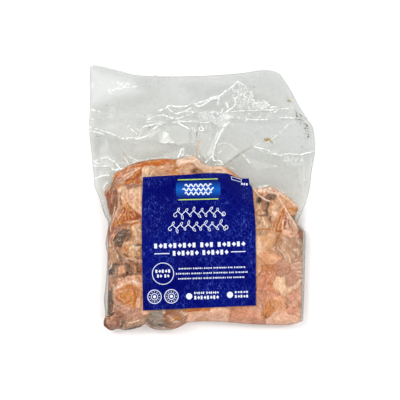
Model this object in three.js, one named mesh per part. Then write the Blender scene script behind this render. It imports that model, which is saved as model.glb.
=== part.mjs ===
import * as THREE from 'three';

// A sealed clear bag of smoked fish pieces, lying on its back with its label facing up.
// Millimetres, +Z up. X runs across the bag, Y from its filled end to its empty end.
// The fish fills the lower two thirds, and the rest is a flat flap of welded film.

// Edges of the bag seen from above. The side edges are pairs of [y, x], the ends [x, y].
const BAG_LEFT = [
  [-119, -87.6], [-112, -88.6], [-106, -87], [-92, -88.1], [-76, -86.4], [-51, -85.1], [-42, -86.8],
  [-22.5, -84.4], [-14, -88.4], [-5, -91], [0, -92.4], [5, -94.6], [10, -96.5], [15, -97],
  [30, -98.5], [64, -101.7], [80, -100.8], [119, -100.6],
];
const BAG_RIGHT = [
  [-119, 90.2], [-112, 91.2], [-100, 91.8], [-60, 93], [-40, 93.5], [-31, 92.9], [-26, 90.2], [-23, 86.8],
  [-15, 89.5], [-4.7, 93.8], [2, 95.7], [8, 97.1], [14, 98], [22, 98.8], [30, 100.2], [37, 101.6],
  [42, 102.1], [48, 102.2], [63.7, 100.1], [70, 95.6], [84, 87], [100, 78.4], [111.4, 70.4],
  [116, 66.5],
];
const BAG_BOTTOM = [
  [-90, -114], [-87, -116.6], [-82, -119.6], [-75.4, -118.1], [-69, -119.4], [-56, -116.8], [-51, -114],
  [-47, -116.8], [-41, -119], [-28, -119], [-20, -116.6], [-12, -112.5], [10, -111.5], [45, -114],
  [75, -114.8], [86, -113], [92, -110.5],
];
const BAG_TOP = [
  [-101, 118.4], [-96, 119.5], [-72.7, 114.1], [-60, 110.9], [-35, 109.6], [-7, 109.9], [15.5, 110.9],
  [36, 112.6], [55, 115.2], [65, 114.3], [70.4, 111.4], [74, 108],
];

// Where the heap of fish ends: towards the flap as [x, y], and along the right side as [y, x].
const HEAP_TOP = [
  [-92, -8], [-86.2, 0.7], [-83.5, 7], [-79.2, 20.5], [-73.6, 24.1], [-62.3, 29.9], [-52, 33.1],
  [-38.5, 34.9], [-21, 35.1], [-5.6, 37.1], [2.9, 30.4], [10, 27.9], [20, 28], [32.6, 19.6], [46, 8.8],
  [61, 9.7], [71, 5.2], [81, -2], [85.3, -6.1], [94, -14],
];
const HEAP_RIGHT = [
  [-119, 88.6], [-100, 89.8], [-40, 91.1], [-30, 90.9], [-26, 87.5], [-22, 84.4], [-12, 85.7],
  [-4, 88], [30, 96],
];
const SIDE_FILM = 1.6;
const END_FILM = 0.8;

// Heights above the ground.
const HEAP_HEIGHT = 19.4;
const HEAP_CROWN = 3.5;
const HEAP_MIDDLE = [2, -48];
const HEAP_REACH = [95, 88];
const RIM_HEIGHT = 8.4;
const FLAP_END_HEIGHT = 2.7;
const FLAP_DROOP_LENGTH = 78;
const FILM_THICKNESS = 1.1;

// How far in from its edge the heap takes to reach its full height, above and below.
const SIDE_ROUNDING = 12;
const UNDERSIDE_ROUNDING = 9;
const SLOPE_LENGTH = 25;
const SLOPE_FOOT = 4;
const UNDERSIDE_SLOPE_LENGTH = 26;

// Pieces of fish that show beside the label: middle, half length and half width, turn in
// degrees and how far they stand above the heap.
const PIECES = [
  { at: [-53.8, 26.5], half: [29, 9], turn: 11, rise: 4.9 },
  { at: [-12.4, 27], half: [17, 8], turn: -5, rise: 3.8 },
  { at: [16.4, 22], half: [19, 8], turn: -18, rise: 3.5 },
  { at: [-60, -1], half: [13, 16], turn: 8, rise: 4.9 },
  { at: [-79.5, -5.6], half: [7, 14], turn: -8, rise: 4.1 },
  { at: [-68, -18.5], half: [16, 9], turn: 24, rise: 4.6 },
  { at: [-73, -36.2], half: [12, 9], turn: 45, rise: 3.8 },
  { at: [-61, -50], half: [11, 14], turn: -12, rise: 4.3 },
  { at: [-73.6, -65.5], half: [14, 9], turn: 12, rise: 2.9 },
  { at: [-67.3, -89], half: [16, 17], turn: -10, rise: 5.5 },
  { at: [-79.5, -112], half: [9, 7], turn: 0, rise: 4.3 },
  { at: [-60.5, -109.5], half: [12, 9], turn: 5, rise: 3.8 },
  { at: [-41, -110], half: [10, 9], turn: 0, rise: 3.2 },
  { at: [-22, -108.5], half: [12, 8], turn: 10, rise: 4.1 },
  { at: [6, -105], half: [18, 7], turn: 3, rise: 3.2 },
  { at: [40, -107], half: [17, 8], turn: 0, rise: 3.8 },
  { at: [79, -6.5], half: [9, 13], turn: 18, rise: 3.8 },
  { at: [58.7, -5], half: [12, 15], turn: -20, rise: 5.2 },
  { at: [71.5, -24], half: [8, 18], turn: 22, rise: 4.6 },
  { at: [57.5, -33], half: [11, 14], turn: 10, rise: 4.3 },
  { at: [80, -49], half: [11, 17], turn: -6, rise: 4.3 },
  { at: [62, -64], half: [13, 15], turn: 24, rise: 4.1 },
  { at: [79, -84], half: [12, 16], turn: 12, rise: 3.8 },
  { at: [60, -95], half: [13, 12], turn: -14, rise: 4.3 },
  { at: [81, -107], half: [10, 8], turn: -8, rise: 3.5 },
];
const PIECE_ROUNDNESS = 0.55;

// Under the label the heap is pressed nearly smooth.
const SWELL_HEIGHT = 0.8;
const PRESSED_RISE = 2.2;
const SWELL_LENGTH = [62, 54];
const PRESS_START = 9;
const PRESS_MARGIN = 2.5;

// Folds of the flap: a ridge from one point to another, its height and half width.
const FOLDS = [
  { from: [-44, 76], to: [32, 104], height: 2, half: 9 },
  { from: [32, 104], to: [76, 79], height: 1.8, half: 9 },
  { from: [-101, 72], to: [99, 72], height: 1.2, half: 7 },
  { from: [80, 66], to: [20, 30], height: 1.9, half: 8 },
  { from: [100, 41], to: [46, 45], height: -1.5, half: 8 },
  { from: [24, 65], to: [8, 36], height: 1.6, half: 6 },
  { from: [-100, 62], to: [-60, 54], height: 1.4, half: 7 },
  { from: [-60, 54], to: [-35, 66], height: 1.4, half: 7 },
  { from: [-3, 63], to: [-6, 38], height: -1.2, half: 6 },
  { from: [-96, 98], to: [-60, 90], height: 1, half: 8 },
];
const FOLDS_BEGIN = 14;

// The label, a rectangle about 101 by 120 stuck to the front, turned a little to the left.
// Its upper right corner bends down over the edge of the heap.
const LABEL_LEFT = [[-102, -52.9], [-60, -53.7], [-25, -54.1], [0, -53.8], [20, -53]];
const LABEL_RIGHT = [[-97, 48.8], [-29, 48.5], [-11.6, 47.5], [0, 46.3], [9, 45.5], [13, 43], [19, 42.4]];
const LABEL_BOTTOM = [[-53, -101.5], [6.5, -98.7], [49, -97]];
const LABEL_TOP = [
  [-53, 18.7], [-35, 19.8], [-12, 21], [-1.6, 22], [20.9, 22.1], [27, 20.6], [33, 17.9], [43, 17.4],
];
const LABEL_THICKNESS = 0.6;
const LABEL_GAP = 0.42;
const LABEL_STIFF_SPAN = 4.4;

// Facets along each direction of the bag and the label.
const BAG_COLUMNS = 38;
const HEAP_ROWS = 28;
const FLAP_ROWS = 17;
const LABEL_COLUMNS = 20;
const LABEL_ROWS = 26;

// Colours and finishes.
const FISH = { color: 0xd9a07a, roughness: 0.35, metalness: 0 };
const LABEL_INK = { color: 0x0c1a78, roughness: 0.4, metalness: 0 };

const { lerp, smoothstep, degToRad } = THREE.MathUtils;

// A smooth curve through pairs of [place, value], read at any place.
function curve(pairs) {
  const places = pairs.map((pair) => pair[0]);
  const values = pairs.map((pair) => pair[1]);
  const spline = new THREE.CubicInterpolant(places, values, 1);
  const last = places.length - 1;
  return (place) => spline.evaluate(Math.min(Math.max(place, places[0]), places[last]))[0];
}

const bagLeft = curve(BAG_LEFT);
const bagRight = curve(BAG_RIGHT);
const bagBottom = curve(BAG_BOTTOM);
const bagTop = curve(BAG_TOP);
const heapTop = curve(HEAP_TOP);
const heapRight = curve(HEAP_RIGHT);
const labelLeft = curve(LABEL_LEFT);
const labelRight = curve(LABEL_RIGHT);
const labelBottom = curve(LABEL_BOTTOM);
const labelTop = curve(LABEL_TOP);

// The point at a share across and a share along a patch with four curved edges.
const PATCH_STEPS = 12;
function patchPoint(across, left, right, yAt) {
  let y = yAt(lerp(left(0), right(0), across));
  let x = 0;
  for (let step = 0; step < PATCH_STEPS; step += 1) {
    x = lerp(left(y), right(y), across);
    y = (y + yAt(x)) / 2;
  }
  return [x, y];
}

// A quarter of an ellipse: 0 at the edge, 1 from its reach inward.
function quarterRound(distance, reach) {
  const share = Math.min(Math.max(distance / reach, 0), 1);
  return Math.sqrt(1 - (1 - share) ** 2);
}

// How far a point lies in from the sides and the filled end of the heap.
const CORNER_BLEND = 2.5;
function depthFromSides(x, y) {
  const distances = [
    x - bagLeft(y) - SIDE_FILM,
    heapRight(y) - x,
    y - bagBottom(x) - END_FILM,
  ];
  const sum = distances.reduce((total, d) => total + Math.exp(-d / CORNER_BLEND), 0);
  return Math.max(-Math.log(sum) * CORNER_BLEND, 0);
}

// 1 under the label and just round it, 0 from a little way off.
function pressedShare(x, y) {
  const inside = Math.min(
    x - labelLeft(y), labelRight(y) - x, y - labelBottom(x), labelTop(x) - y,
  );
  return smoothstep(inside, -PRESS_START, -PRESS_MARGIN);
}

function pieceRise(x, y) {
  let rise = 0;
  for (const piece of PIECES) {
    const turn = degToRad(piece.turn);
    const dx = x - piece.at[0];
    const dy = y - piece.at[1];
    const along = (dx * Math.cos(turn) + dy * Math.sin(turn)) / piece.half[0];
    const aside = (dy * Math.cos(turn) - dx * Math.sin(turn)) / piece.half[1];
    const dome = Math.max(1 - along ** 2 - aside ** 2, 0) ** PIECE_ROUNDNESS;
    rise = Math.max(rise, piece.rise * dome);
  }
  return rise;
}

function heapHeight(x, y) {
  const [middleX, middleY] = HEAP_MIDDLE;
  const [reachX, reachY] = HEAP_REACH;
  const off = ((x - middleX) / reachX) ** 2 + ((y - middleY) / reachY) ** 2;
  const crown = HEAP_CROWN * Math.max(1 - off, 0);
  const waveX = Math.cos((2 * Math.PI * x) / SWELL_LENGTH[0]);
  const waveY = Math.cos((2 * Math.PI * y) / SWELL_LENGTH[1]);
  const swell = PRESSED_RISE + SWELL_HEIGHT * waveX * waveY;
  const pressed = pressedShare(x, y);
  return HEAP_HEIGHT + crown + lerp(pieceRise(x, y), swell, pressed);
}

function foldRise(x, y) {
  let rise = 0;
  for (const fold of FOLDS) {
    const runX = fold.to[0] - fold.from[0];
    const runY = fold.to[1] - fold.from[1];
    const share = ((x - fold.from[0]) * runX + (y - fold.from[1]) * runY) / (runX ** 2 + runY ** 2);
    const near = Math.min(Math.max(share, 0), 1);
    const away = Math.hypot(x - fold.from[0] - near * runX, y - fold.from[1] - near * runY);
    rise += fold.height * (1 - smoothstep(away, 0, fold.half));
  }
  return rise;
}

// Middle of the film's thickness: level beside the heap, drooping along the flap.
function filmHeight(x, y) {
  const beyond = y - heapTop(x);
  const droop = smoothstep(beyond, 0, FLAP_DROOP_LENGTH);
  const folds = foldRise(x, y) * smoothstep(beyond, 0, FOLDS_BEGIN);
  return lerp(RIM_HEIGHT, FLAP_END_HEIGHT, droop) + folds;
}

function upperSide(x, y) {
  const rim = filmHeight(x, y) + FILM_THICKNESS / 2;
  const slope = smoothstep(heapTop(x) - y, -SLOPE_FOOT, SLOPE_LENGTH - SLOPE_FOOT);
  const full = quarterRound(depthFromSides(x, y), SIDE_ROUNDING) * slope;
  return lerp(rim, heapHeight(x, y), full);
}

function underSide(x, y) {
  const rim = filmHeight(x, y) - FILM_THICKNESS / 2;
  const slope = smoothstep(heapTop(x) - y, 0, UNDERSIDE_SLOPE_LENGTH);
  const full = quarterRound(depthFromSides(x, y), UNDERSIDE_ROUNDING) * slope;
  return lerp(rim, 0, full);
}

// A closed solid from two sheets of the same grid, joined all round their rim.
function sheetSolid(columns, rows, planPoint, upper, lower) {
  const positions = [];
  for (const height of [upper, lower]) {
    for (let row = 0; row <= rows; row += 1) {
      for (let column = 0; column <= columns; column += 1) {
        const [x, y] = planPoint(column / columns, row / rows);
        positions.push(x, y, height(x, y));
      }
    }
  }
  const layer = (columns + 1) * (rows + 1);
  const at = (column, row) => row * (columns + 1) + column;
  const faces = [];
  for (let row = 0; row < rows; row += 1) {
    for (let column = 0; column < columns; column += 1) {
      const a = at(column, row);
      const b = at(column + 1, row);
      const c = at(column + 1, row + 1);
      const d = at(column, row + 1);
      faces.push(a, b, c, a, c, d);
      faces.push(layer + a, layer + c, layer + b, layer + a, layer + d, layer + c);
    }
  }
  const rim = [];
  for (let column = 0; column < columns; column += 1) rim.push(at(column, 0));
  for (let row = 0; row < rows; row += 1) rim.push(at(columns, row));
  for (let column = columns; column > 0; column -= 1) rim.push(at(column, rows));
  for (let row = rows; row > 0; row -= 1) rim.push(at(0, row));
  rim.forEach((here, index) => {
    const next = rim[(index + 1) % rim.length];
    faces.push(here, layer + here, layer + next, here, layer + next, next);
  });
  const geometry = new THREE.BufferGeometry();
  geometry.setAttribute('position', new THREE.Float32BufferAttribute(positions, 3));
  geometry.setIndex(faces);
  geometry.computeVertexNormals();
  return geometry;
}

// Columns crowd towards the sides, where the bag rounds off.
const EDGE_CROWDING = 0.4;
function crowded(share) {
  return lerp(share, (1 - Math.cos(Math.PI * share)) / 2, EDGE_CROWDING);
}

function bagPoint(across, along) {
  const rows = HEAP_ROWS + FLAP_ROWS;
  const border = HEAP_ROWS / rows;
  const yAt = (x) => (along < border
    ? lerp(bagBottom(x), heapTop(x), crowded(along / border))
    : lerp(heapTop(x), bagTop(x), (along - border) / (1 - border)));
  return patchPoint(crowded(across), bagLeft, bagRight, yAt);
}

function labelPoint(across, along) {
  const yAt = (x) => lerp(labelBottom(x), labelTop(x), along);
  return patchPoint(across, labelLeft, labelRight, yAt);
}

function makeBag() {
  const geometry = sheetSolid(BAG_COLUMNS, HEAP_ROWS + FLAP_ROWS, bagPoint, upperSide, underSide);
  const bag = new THREE.Mesh(geometry, new THREE.MeshStandardMaterial(FISH));
  bag.name = 'pouch';
  return bag;
}

// The stiff label stands off the bag a little where the bag bends under it.
function labelUnderside(x, y) {
  const span = LABEL_STIFF_SPAN;
  const bridged = (upperSide(x - span, y) + upperSide(x + span, y)
    + upperSide(x, y - span) + upperSide(x, y + span)) / 4;
  const bag = upperSide(x, y);
  return bag + LABEL_GAP + Math.abs(bridged - bag);
}

function makeLabel() {
  const upper = (x, y) => labelUnderside(x, y) + LABEL_THICKNESS;
  const geometry = sheetSolid(LABEL_COLUMNS, LABEL_ROWS, labelPoint, upper, labelUnderside);
  const label = new THREE.Mesh(geometry, new THREE.MeshStandardMaterial(LABEL_INK));
  label.name = 'label';
  return label;
}

const pack = new THREE.Group();
pack.add(makeBag(), makeLabel());

// The origin is the middle of the bounding box, on the ground.
const middle = new THREE.Box3().setFromObject(pack).getCenter(new THREE.Vector3());
pack.position.set(-middle.x, -middle.y, 0);
pack.updateMatrixWorld(true);

export default pack;
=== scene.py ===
import math

import bpy
import numpy as np
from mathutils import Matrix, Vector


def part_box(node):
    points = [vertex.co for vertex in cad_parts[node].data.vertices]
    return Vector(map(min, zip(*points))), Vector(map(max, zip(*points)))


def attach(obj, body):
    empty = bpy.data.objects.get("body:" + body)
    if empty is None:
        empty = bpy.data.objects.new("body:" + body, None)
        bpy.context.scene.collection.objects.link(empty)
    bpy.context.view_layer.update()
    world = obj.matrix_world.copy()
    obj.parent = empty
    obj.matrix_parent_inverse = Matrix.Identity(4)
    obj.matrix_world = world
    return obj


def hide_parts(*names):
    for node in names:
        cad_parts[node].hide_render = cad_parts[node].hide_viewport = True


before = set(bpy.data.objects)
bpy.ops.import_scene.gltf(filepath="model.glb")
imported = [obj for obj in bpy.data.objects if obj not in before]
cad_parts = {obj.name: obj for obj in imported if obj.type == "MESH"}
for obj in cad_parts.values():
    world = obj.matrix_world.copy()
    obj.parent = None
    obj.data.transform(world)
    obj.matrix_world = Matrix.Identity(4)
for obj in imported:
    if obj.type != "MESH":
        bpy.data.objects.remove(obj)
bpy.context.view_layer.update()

# Sizes are millimetres in the plan of the pack, X across and Y towards its empty flap.
# They become metres when a mesh is made.
MM = 0.001

# Outlines of the bag, the heap of fish and the label: pairs of a place and how far out the edge is there.
BAG_LEFT = """
-119 -87.6  -112 -88.6  -106 -87  -92 -88.1  -76 -86.4  -51 -85.1  -42 -86.8  -22.5 -84.4  -14 -88.4
-5 -91  0 -92.4  5 -94.6  10 -96.5  15 -97  30 -98.5  64 -101.7  80 -100.8  119 -100.6
"""
BAG_RIGHT = """
-119 90.2  -112 91.2  -100 91.8  -60 93  -40 93.5  -31 92.9  -26 90.2  -23 86.8  -15 89.5  -4.7 93.8
2 95.7  8 97.1  14 98  22 98.8  30 100.2  37 101.6  42 102.1  48 102.2  63.7 100.1
70 95.6  84 87  100 78.4  111.4 70.4  116 66.5
"""
BAG_BOTTOM = """
-90 -114  -87 -116.6  -82 -119.6  -75.4 -118.1  -69 -119.4  -56 -116.8  -51 -114  -47 -116.8  -41 -119
-28 -119  -20 -116.6  -12 -112.5  10 -111.5  45 -114  75 -114.8  86 -113  92 -110.5
"""
BAG_TOP = """
-101 118.4  -96 119.5  -72.7 114.1  -60 110.9  -35 109.6  -7 109.9  15.5 110.9  36 112.6  55 115.2
65 114.3  70.4 111.4  74 108
"""
HEAP_TOP = """
-92 -8  -86.2 0.7  -83.5 7  -79.2 20.5  -73.6 24.1  -62.3 29.9  -52 33.1  -38.5 34.9  -21 35.1
-5.6 37.1  2.9 30.4  10 27.9  20 28  32.6 19.6  46 8.8  61 9.7  71 5.2  81 -2  85.3 -6.1  94 -14
"""
HEAP_RIGHT = "-119 88.6  -100 89.8  -40 91.1  -30 90.9  -26 87.5  -22 84.4  -12 85.7  -4 88  30 96"
LABEL_LEFT = "-102 -52.9  -60 -53.7  -25 -54.1  0 -53.8  20 -53"
LABEL_RIGHT = "-97 48.8  -29 48.5  -11.6 47.5  0 46.3  9 45.5  13 43  19 42.4"
LABEL_BOTTOM = "-53 -101.5  6.5 -98.7  49 -97"
LABEL_TOP = "-53 18.7  -35 19.8  -12 21  -1.6 22  20.9 22.1  27 20.6  33 17.9  43 17.4"
# Outline of the fish inside the bag, at its left, upper and right edge.
FISH_LEFT = """
-120 -89  -108 -88.2  -106 -85.6  -92 -85  -75 -84.4  -40 -84.8  -30 -84.9  -24 -83.2  -19 -82
-14 -83.6  -8 -85.2  0 -86.3  3 -88.2  6 -87.4  9 -85.4  12 -82.6  16 -80.6  24 -80.2
"""
FISH_TOP = """
-89 3  -87 7.5  -84 11  -81 14  -80 20.6  -73 25  -65 29.6  -58 32  -50 33.6  -40 35.1  -30 35.3  -22 35
-15 36.8  -6 37.8  -3.6 36.6  0 31.6  4 29.8  10 28.6  20 28.4  33 19.6  46 9.4  55 9  61 10.3  65 9.2
71 5.6  80 -0.6  84 -4.4  87 -8.5  93 -13
"""
FISH_RIGHT = """
-119 88.9  -100 90.1  -40 91.4  -30 91.2  -26 87.8  -21 84.8  -15 84.9  -11.5 86.6  -8 87  30 92
"""
# Bare film beside the heap, at its left and at its filled end.
SIDE_FILM, END_FILM = 1.6, 0.8
# Heights above the ground, and where the heap is crowned.
HEAP_HEIGHT, HEAP_CROWN, HEAP_MIDDLE, HEAP_REACH = 19.4, 3.5, (2, -48), (95, 88)
RIM_HEIGHT, FLAP_END_HEIGHT, FLAP_DROOP_LENGTH, FILM_THICKNESS = 8.4, 2.7, 78, 1.1
# How far in from its edge the heap takes to reach its full height, above and below.
SIDE_ROUNDING, UNDERSIDE_ROUNDING = 12, 9
SLOPE_LENGTH, SLOPE_FOOT, UNDERSIDE_SLOPE_LENGTH = 25, 4, 26
# How widely its corners are blended; places farther outside than the second count as that far.
CORNER_BLEND, FAR_OUTSIDE = 2.5, -60
# The label presses the heap nearly smooth. That starts this far outside the label's edge, and
# from the margin on only a low swell is left.
PRESS_START, PRESS_MARGIN = 9, 2.5
SWELL_HEIGHT, PRESSED_RISE, SWELL_LENGTH = 0.8, 2.2, (62, 54)
# The smaller the first, the blunter the pieces. The folds are full this far past the heap.
PIECE_ROUNDNESS, FOLDS_FULL = 0.55, 14

# Pieces of fish beside the label: middle, half sizes, turn, rise.
PIECES = [
    (-53.8, 26.5, 29, 9, 11, 4.9), (-12.4, 27, 17, 8, -5, 3.8), (16.4, 22, 19, 8, -18, 3.5),
    (-60, -1, 13, 16, 8, 4.9), (-79.5, -5.6, 7, 14, -8, 4.1), (-68, -18.5, 16, 9, 24, 4.6),
    (-73, -36.2, 12, 9, 45, 3.8), (-61, -50, 11, 14, -12, 4.3), (-73.6, -65.5, 14, 9, 12, 2.9),
    (-67.3, -89, 16, 17, -10, 5.5), (-79.5, -112, 9, 7, 0, 4.3), (-60.5, -109.5, 12, 9, 5, 3.8),
    (-41, -110, 10, 9, 0, 3.2), (-22, -108.5, 12, 8, 10, 4.1), (6, -105, 18, 7, 3, 3.2),
    (40, -107, 17, 8, 0, 3.8), (79, -6.5, 9, 13, 18, 3.8), (58.7, -5, 12, 15, -20, 5.2),
    (71.5, -24, 8, 18, 22, 4.6), (57.5, -33, 11, 14, 10, 4.3), (80, -49, 11, 17, -6, 4.3),
    (62, -64, 13, 15, 24, 4.1), (79, -84, 12, 16, 12, 3.8), (60, -95, 13, 12, -14, 4.3),
    (81, -107, 10, 8, -8, 3.5),
]

# Broad folds of the flap: from, to, height, half width.
FOLDS = [
    ((-44, 76), (32, 104), 2, 9), ((32, 104), (76, 79), 1.8, 9), ((-101, 72), (99, 72), 1.2, 7),
    ((80, 66), (20, 30), 1.9, 8), ((100, 41), (46, 45), -1.5, 8), ((24, 65), (8, 36), 1.6, 6),
    ((-100, 62), (-60, 54), 1.4, 7), ((-60, 54), (-35, 66), 1.4, 7), ((-3, 63), (-6, 38), -1.2, 6),
    ((-96, 98), (-60, 90), 1, 8),
]

# Each row of the tables below is one line of numbers that ends with the points x y of its line
# or outline. A width of 0 means that the points go round a filled area.

# Creases of the film: half width, whiteness (painted highlight, partly stress-whitening of the film) or,
# below 0, darkness (painted shade), points.
CREASES = """
# small crumples near the upper left corner
.6 1 -80.5 104 -79 103 -77 103 -75.5 104 -74 103 -69.5 102.5
.6 1 -81 96 -75 100 -70.5 102.5
.5 .8 -77 98.5 -74 99 -71 99 -70 100
.5 .9 -75 98 -71.5 98
.8 1 -70 99.5 -58 100.5
.6 .9 -70 100 -67.5 103 -66.5 103 -65.5 102
.6 .9 -82 98 -84 97 -84 96 -80 91.5
1.2 .3 -88.5 115 -89 108 -87 104.5
# the peak above the seal, left side
.8 1 -40 78.5 -33 80.5 -31 83 -18 82
.8 1 -18 82 -13 83 -9.5 85 -5 84.5 -3 86 3 87.5
.9 1 3 87.5 5.5 88.5 10 91 15.5 91.5 22 96.5
.7 1 22 96.5 27 99.5 32.5 105.5
.7 1 -6.5 84 -2.5 82.5 0 83 9 89 15 90
.6 .7 16 91 24.5 96.5
.6 .9 -31.5 82 -28.5 78.5 -26.5 77.5
.7 .9 -14.5 79 -9.5 81
.7 .9 -25 76.5 -22 76 -16.5 78 -9 77.5 -7 77
1 .8 -24.5 76 -20.5 76
.7 1 -48.5 71 -36.5 75 -34 75 -29 73 -25.5 71
.7 .9 -25.5 71 -22 71.5 -13 74 -7 77
.6 .5 -20 74 -16 75.5 -12 76
1 .6 15.5 91 15 84.5
# the peak, right side
.6 .9 32.5 105.5 38 101
.8 .8 38 98.5
.9 .6 33 103 36 97 35 92
.8 .7 40 97 38.5 92 40 87 38 83
.8 .7 43.5 91 41.5 86 42.5 81
.7 .8 24 88 22 84 24.5 81
.9 .6 47 87 46 82
.6 .7 39.5 100 41.5 96
.8 .7 44 95.5 44.5 92.5
.8 1 44.5 91 45 89 47 88.5 48.5 86 50 85.5 56.5 87.5 59.5 85
.7 .9 51 88.5
.7 .9 59.5 85 61 84 60 83 61 83.5
.6 .8 58.5 84.5 57.5 82.5 58.5 81.5
.7 1 62 82 66.5 82 67.5 81
.7 1 51.5 83.5 53 80.5 57 81
.7 .6 28.5 100 28 97 29 95
.6 .8 33.5 101 32.5 95.5 33.5 92 32 91.5 31 90
.5 1 30.5 89.5 30 87.5 31 86.5 33 86.5 34 88 33.5 89.5 31.5 90.5 30.5 89.5
.7 1 30.5 90 30 84.5 28.5 82.5 26.5 80.5 21.5 77.5
.6 .8 21 85.5 22.5 85.5 23.5 83.5 23.5 81
.9 .7 19 80 18.5 78
1.1 .6 33.5 83.5 34.5 80
1 .45 42.5 90 41.5 84 44 80
.9 .4 36.5 97 38.5 93 37.5 89
# the two lines of the seal
.8 .9 -101.5 80.5 -92 77.5
.6 .25 -92 77.5 -58 74.5
.7 .85 2.5 77 12 77.5 20 76.5 24 77.5 35 78.5 62 79.5
.7 1 62 79.5 78.5 80.5
.8 1 76 80.5 78.5 80.5
.5 .5 19 75.5 25 76 31 75
.7 .8 -101 71.5 -97.5 70.5
.7 .25 -97.5 70 -60 69
.8 .6 -50 69 -37 69 -34.5 68.5
.6 1 -26 68 -22 68
.7 .9 -21.5 69 -8 69 -2 68 5 68 7.5 69
.7 .7 7.5 69 14 67 16 64.5
.6 .6 28 69 35 70 42 69.5
.6 1 40 70.5 59 70.5
.7 1 69.5 72 77 72.5 86 72
.6 -1 -37.5 75.5 -30 75
.7 -1 -14.5 80.5 -11.5 83 -9 84 -6.5 83.5
.6 -1 83 71.5 90.5 70.5
# marks between the two lines
.5 .8 3 76.5 5 72 7 70.5
.5 .8 6 76.5 8 73.5 7.5 72
.6 .9 10 75 12.5 69.5
.6 .8 .5 76.5 -1.5 76.5
.5 .6 1 75 3 71.5
.5 .6 15.5 73.5 18 69
.5 .7 17.5 75 18.5 72 20.5 70
.5 .7 20 76 21 70
.9 .9 23.5 74.5 25.5 74.5
1.4 .7 26 72.5 28 72.5
.8 .9 35.5 74.5
.6 .9 33 73 34.5 71
.6 .9 39.5 72.5 41 71
.7 .9 42 75.5 43.5 76
.6 .9 51.5 72 52.5 74 53 72.5
.6 .7 53.5 76 55 76.5
.6 .8 57.5 72.5 60 73.5 59.5 75
.6 .8 60.5 73.5 61.5 72 64 71.5
.8 1 63 77
.7 1 65.5 77 69 79.5
.8 .7 84.5 68
# below the seal, left
.7 1 -101.5 64 -91.5 61.5 -70.5 53
.8 1 -68 53 -66 54 -62.5 54 -57.5 53 -50 55.5
.8 1 -50 55.5 -48 57 -45 61 -38 66 -34 68
.9 .9 -101 60 -97 59.5 -88 57
.7 -1 -95.5 55.5 -90 55.5
.6 .9 -67.5 65.5 -58.5 57.5
.6 .9 -58 63 -56 61 -55 61 -53.5 63 -50 65
.7 .9 -50 65 -37 67.5
.7 .6 -57.5 53.5 -55.5 57.5 -55.5 60.5
.8 1 -47 58.5 -46 60
.6 .8 -33.5 66 -31.5 60.5
.7 .8 -36.5 50.5 -33 54 -31.5 58
.6 .7 -35 53 -31 55 -28.5 51.5
.6 .6 -40 63 -37.5 55 -37 51
.7 1 -32 58.5 -24.5 49
.7 .9 -24.5 49 -29.5 51 -32.5 50 -36.5 50.5
.8 1 -21 67.5 -11 62 -10.5 61
.9 .9 -8.5 63 -8 60.5
.9 .9 -6.5 62.5 -6.5 59.5
.8 -1 -2 67.5 -4 61 -4.5 58 -4 54
.5 .7 -3 60 -3 52
.5 1 -1.5 65 -2 62.5 -1.5 60.5 1 60.5 1.5 62.5 -1 65.5
.8 1 -21.5 36.5 -18 43.5
.6 .9 -17 45 -16 42.5 -16.5 41.5
.6 .8 -18.5 38 -16 39.5 -14 38 -12 37.5 -9 38.5
# below the seal, right
.9 1 25 68.5 21.5 65 17.5 60 12.5 48.5
.8 1 12.5 48.5 9.5 38
.9 1 21.5 66.5 18.5 62.5
.7 1 9.5 38 3.5 32
.7 1 9.5 38 10.5 34 12 33.5 16 33.5 17.5 32.5 19.5 29.5
.6 .7 12 38 17 42
1.3 .45 14 58.5 12.5 55 12 51
1.4 .4 6 55 7 52 3.5 40
.7 .7 8.5 67 7.5 64.5 7.5 62
.7 .5 4.5 66 3 62
.7 .5 2 38.5 4 34.5
.9 .45 15 48 18 49 22 49 25 48 28 46.5 34.5 41
.6 -1 45.5 47 37 41 34 39.5 19.5 29
.6 1 36.5 39 43 32
.7 .55 47 46.5 53 50 54 51.5
.7 1 47.5 46 58 43.5 67 39 70.5 38.5
.6 .6 50 43.5 66 38.5
1 1 70 38.5 72.5 39
.7 .8 73.5 39 77 40 86 39
.7 1 86 39 90 39 102 42.5
.6 .6 80 67.5 70 58 62 52
.6 .5 78 67 70 59.5 66 56.5 62.5 55
.6 .7 91 37.5 90 32.5 88.5 30.5
.8 .9 87 29
.8 .8 84 29.5
.6 .8 74.5 33.5
.7 .9 76 33
.9 .9 65.5 28 66.5 28.5
.8 .3 91.5 37 91 8
# beside the heap
.9 .9 -66 28.5 -60.5 32
.5 .6 -57 33.5 -45 35.5 -24 36
.5 .9 -66 37.5 -60 34 -57.5 33
.5 .8 -69 36 -66 31.5
.7 1 -71.5 31.5 -71 31.5
.5 .7 -69.5 31.5 -67.5 31 -66 30
.7 1 -97.5 33 -92 35 -86.5 36 -84 35.5 -79 33 -75 28.5
.8 1 -75 28.5 -73 26 -69 27
.7 1 -97.5 32.5 -89.5 29.5
.8 .9 -98 29 -91 28 -85 28.5 -83 28 -80 25.5 -77 25 -75 26
.7 1 -97.5 17 -91 19.5 -85 20.5 -83.5 20
.6 .8 -84.5 13.5 -87.5 11.5 -88.5 9 -88 5
.6 .8 12 30 18.5 30
.7 1 22 28 23 27.5
.7 1 26 26.5 27 27 28.5 26
.7 1 31 22 32 21.5
.7 1 35.5 22.5 37 22 37.5 23
.8 .6 24 25.5 30 21
.8 .6 36.5 18.5 42.5 19 44 17 43.5 13
.9 .7 49 9 59.5 11
1 .6 68 7.5 74 4.5
.9 .6 87 -9.5 89 -14
"""
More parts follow.
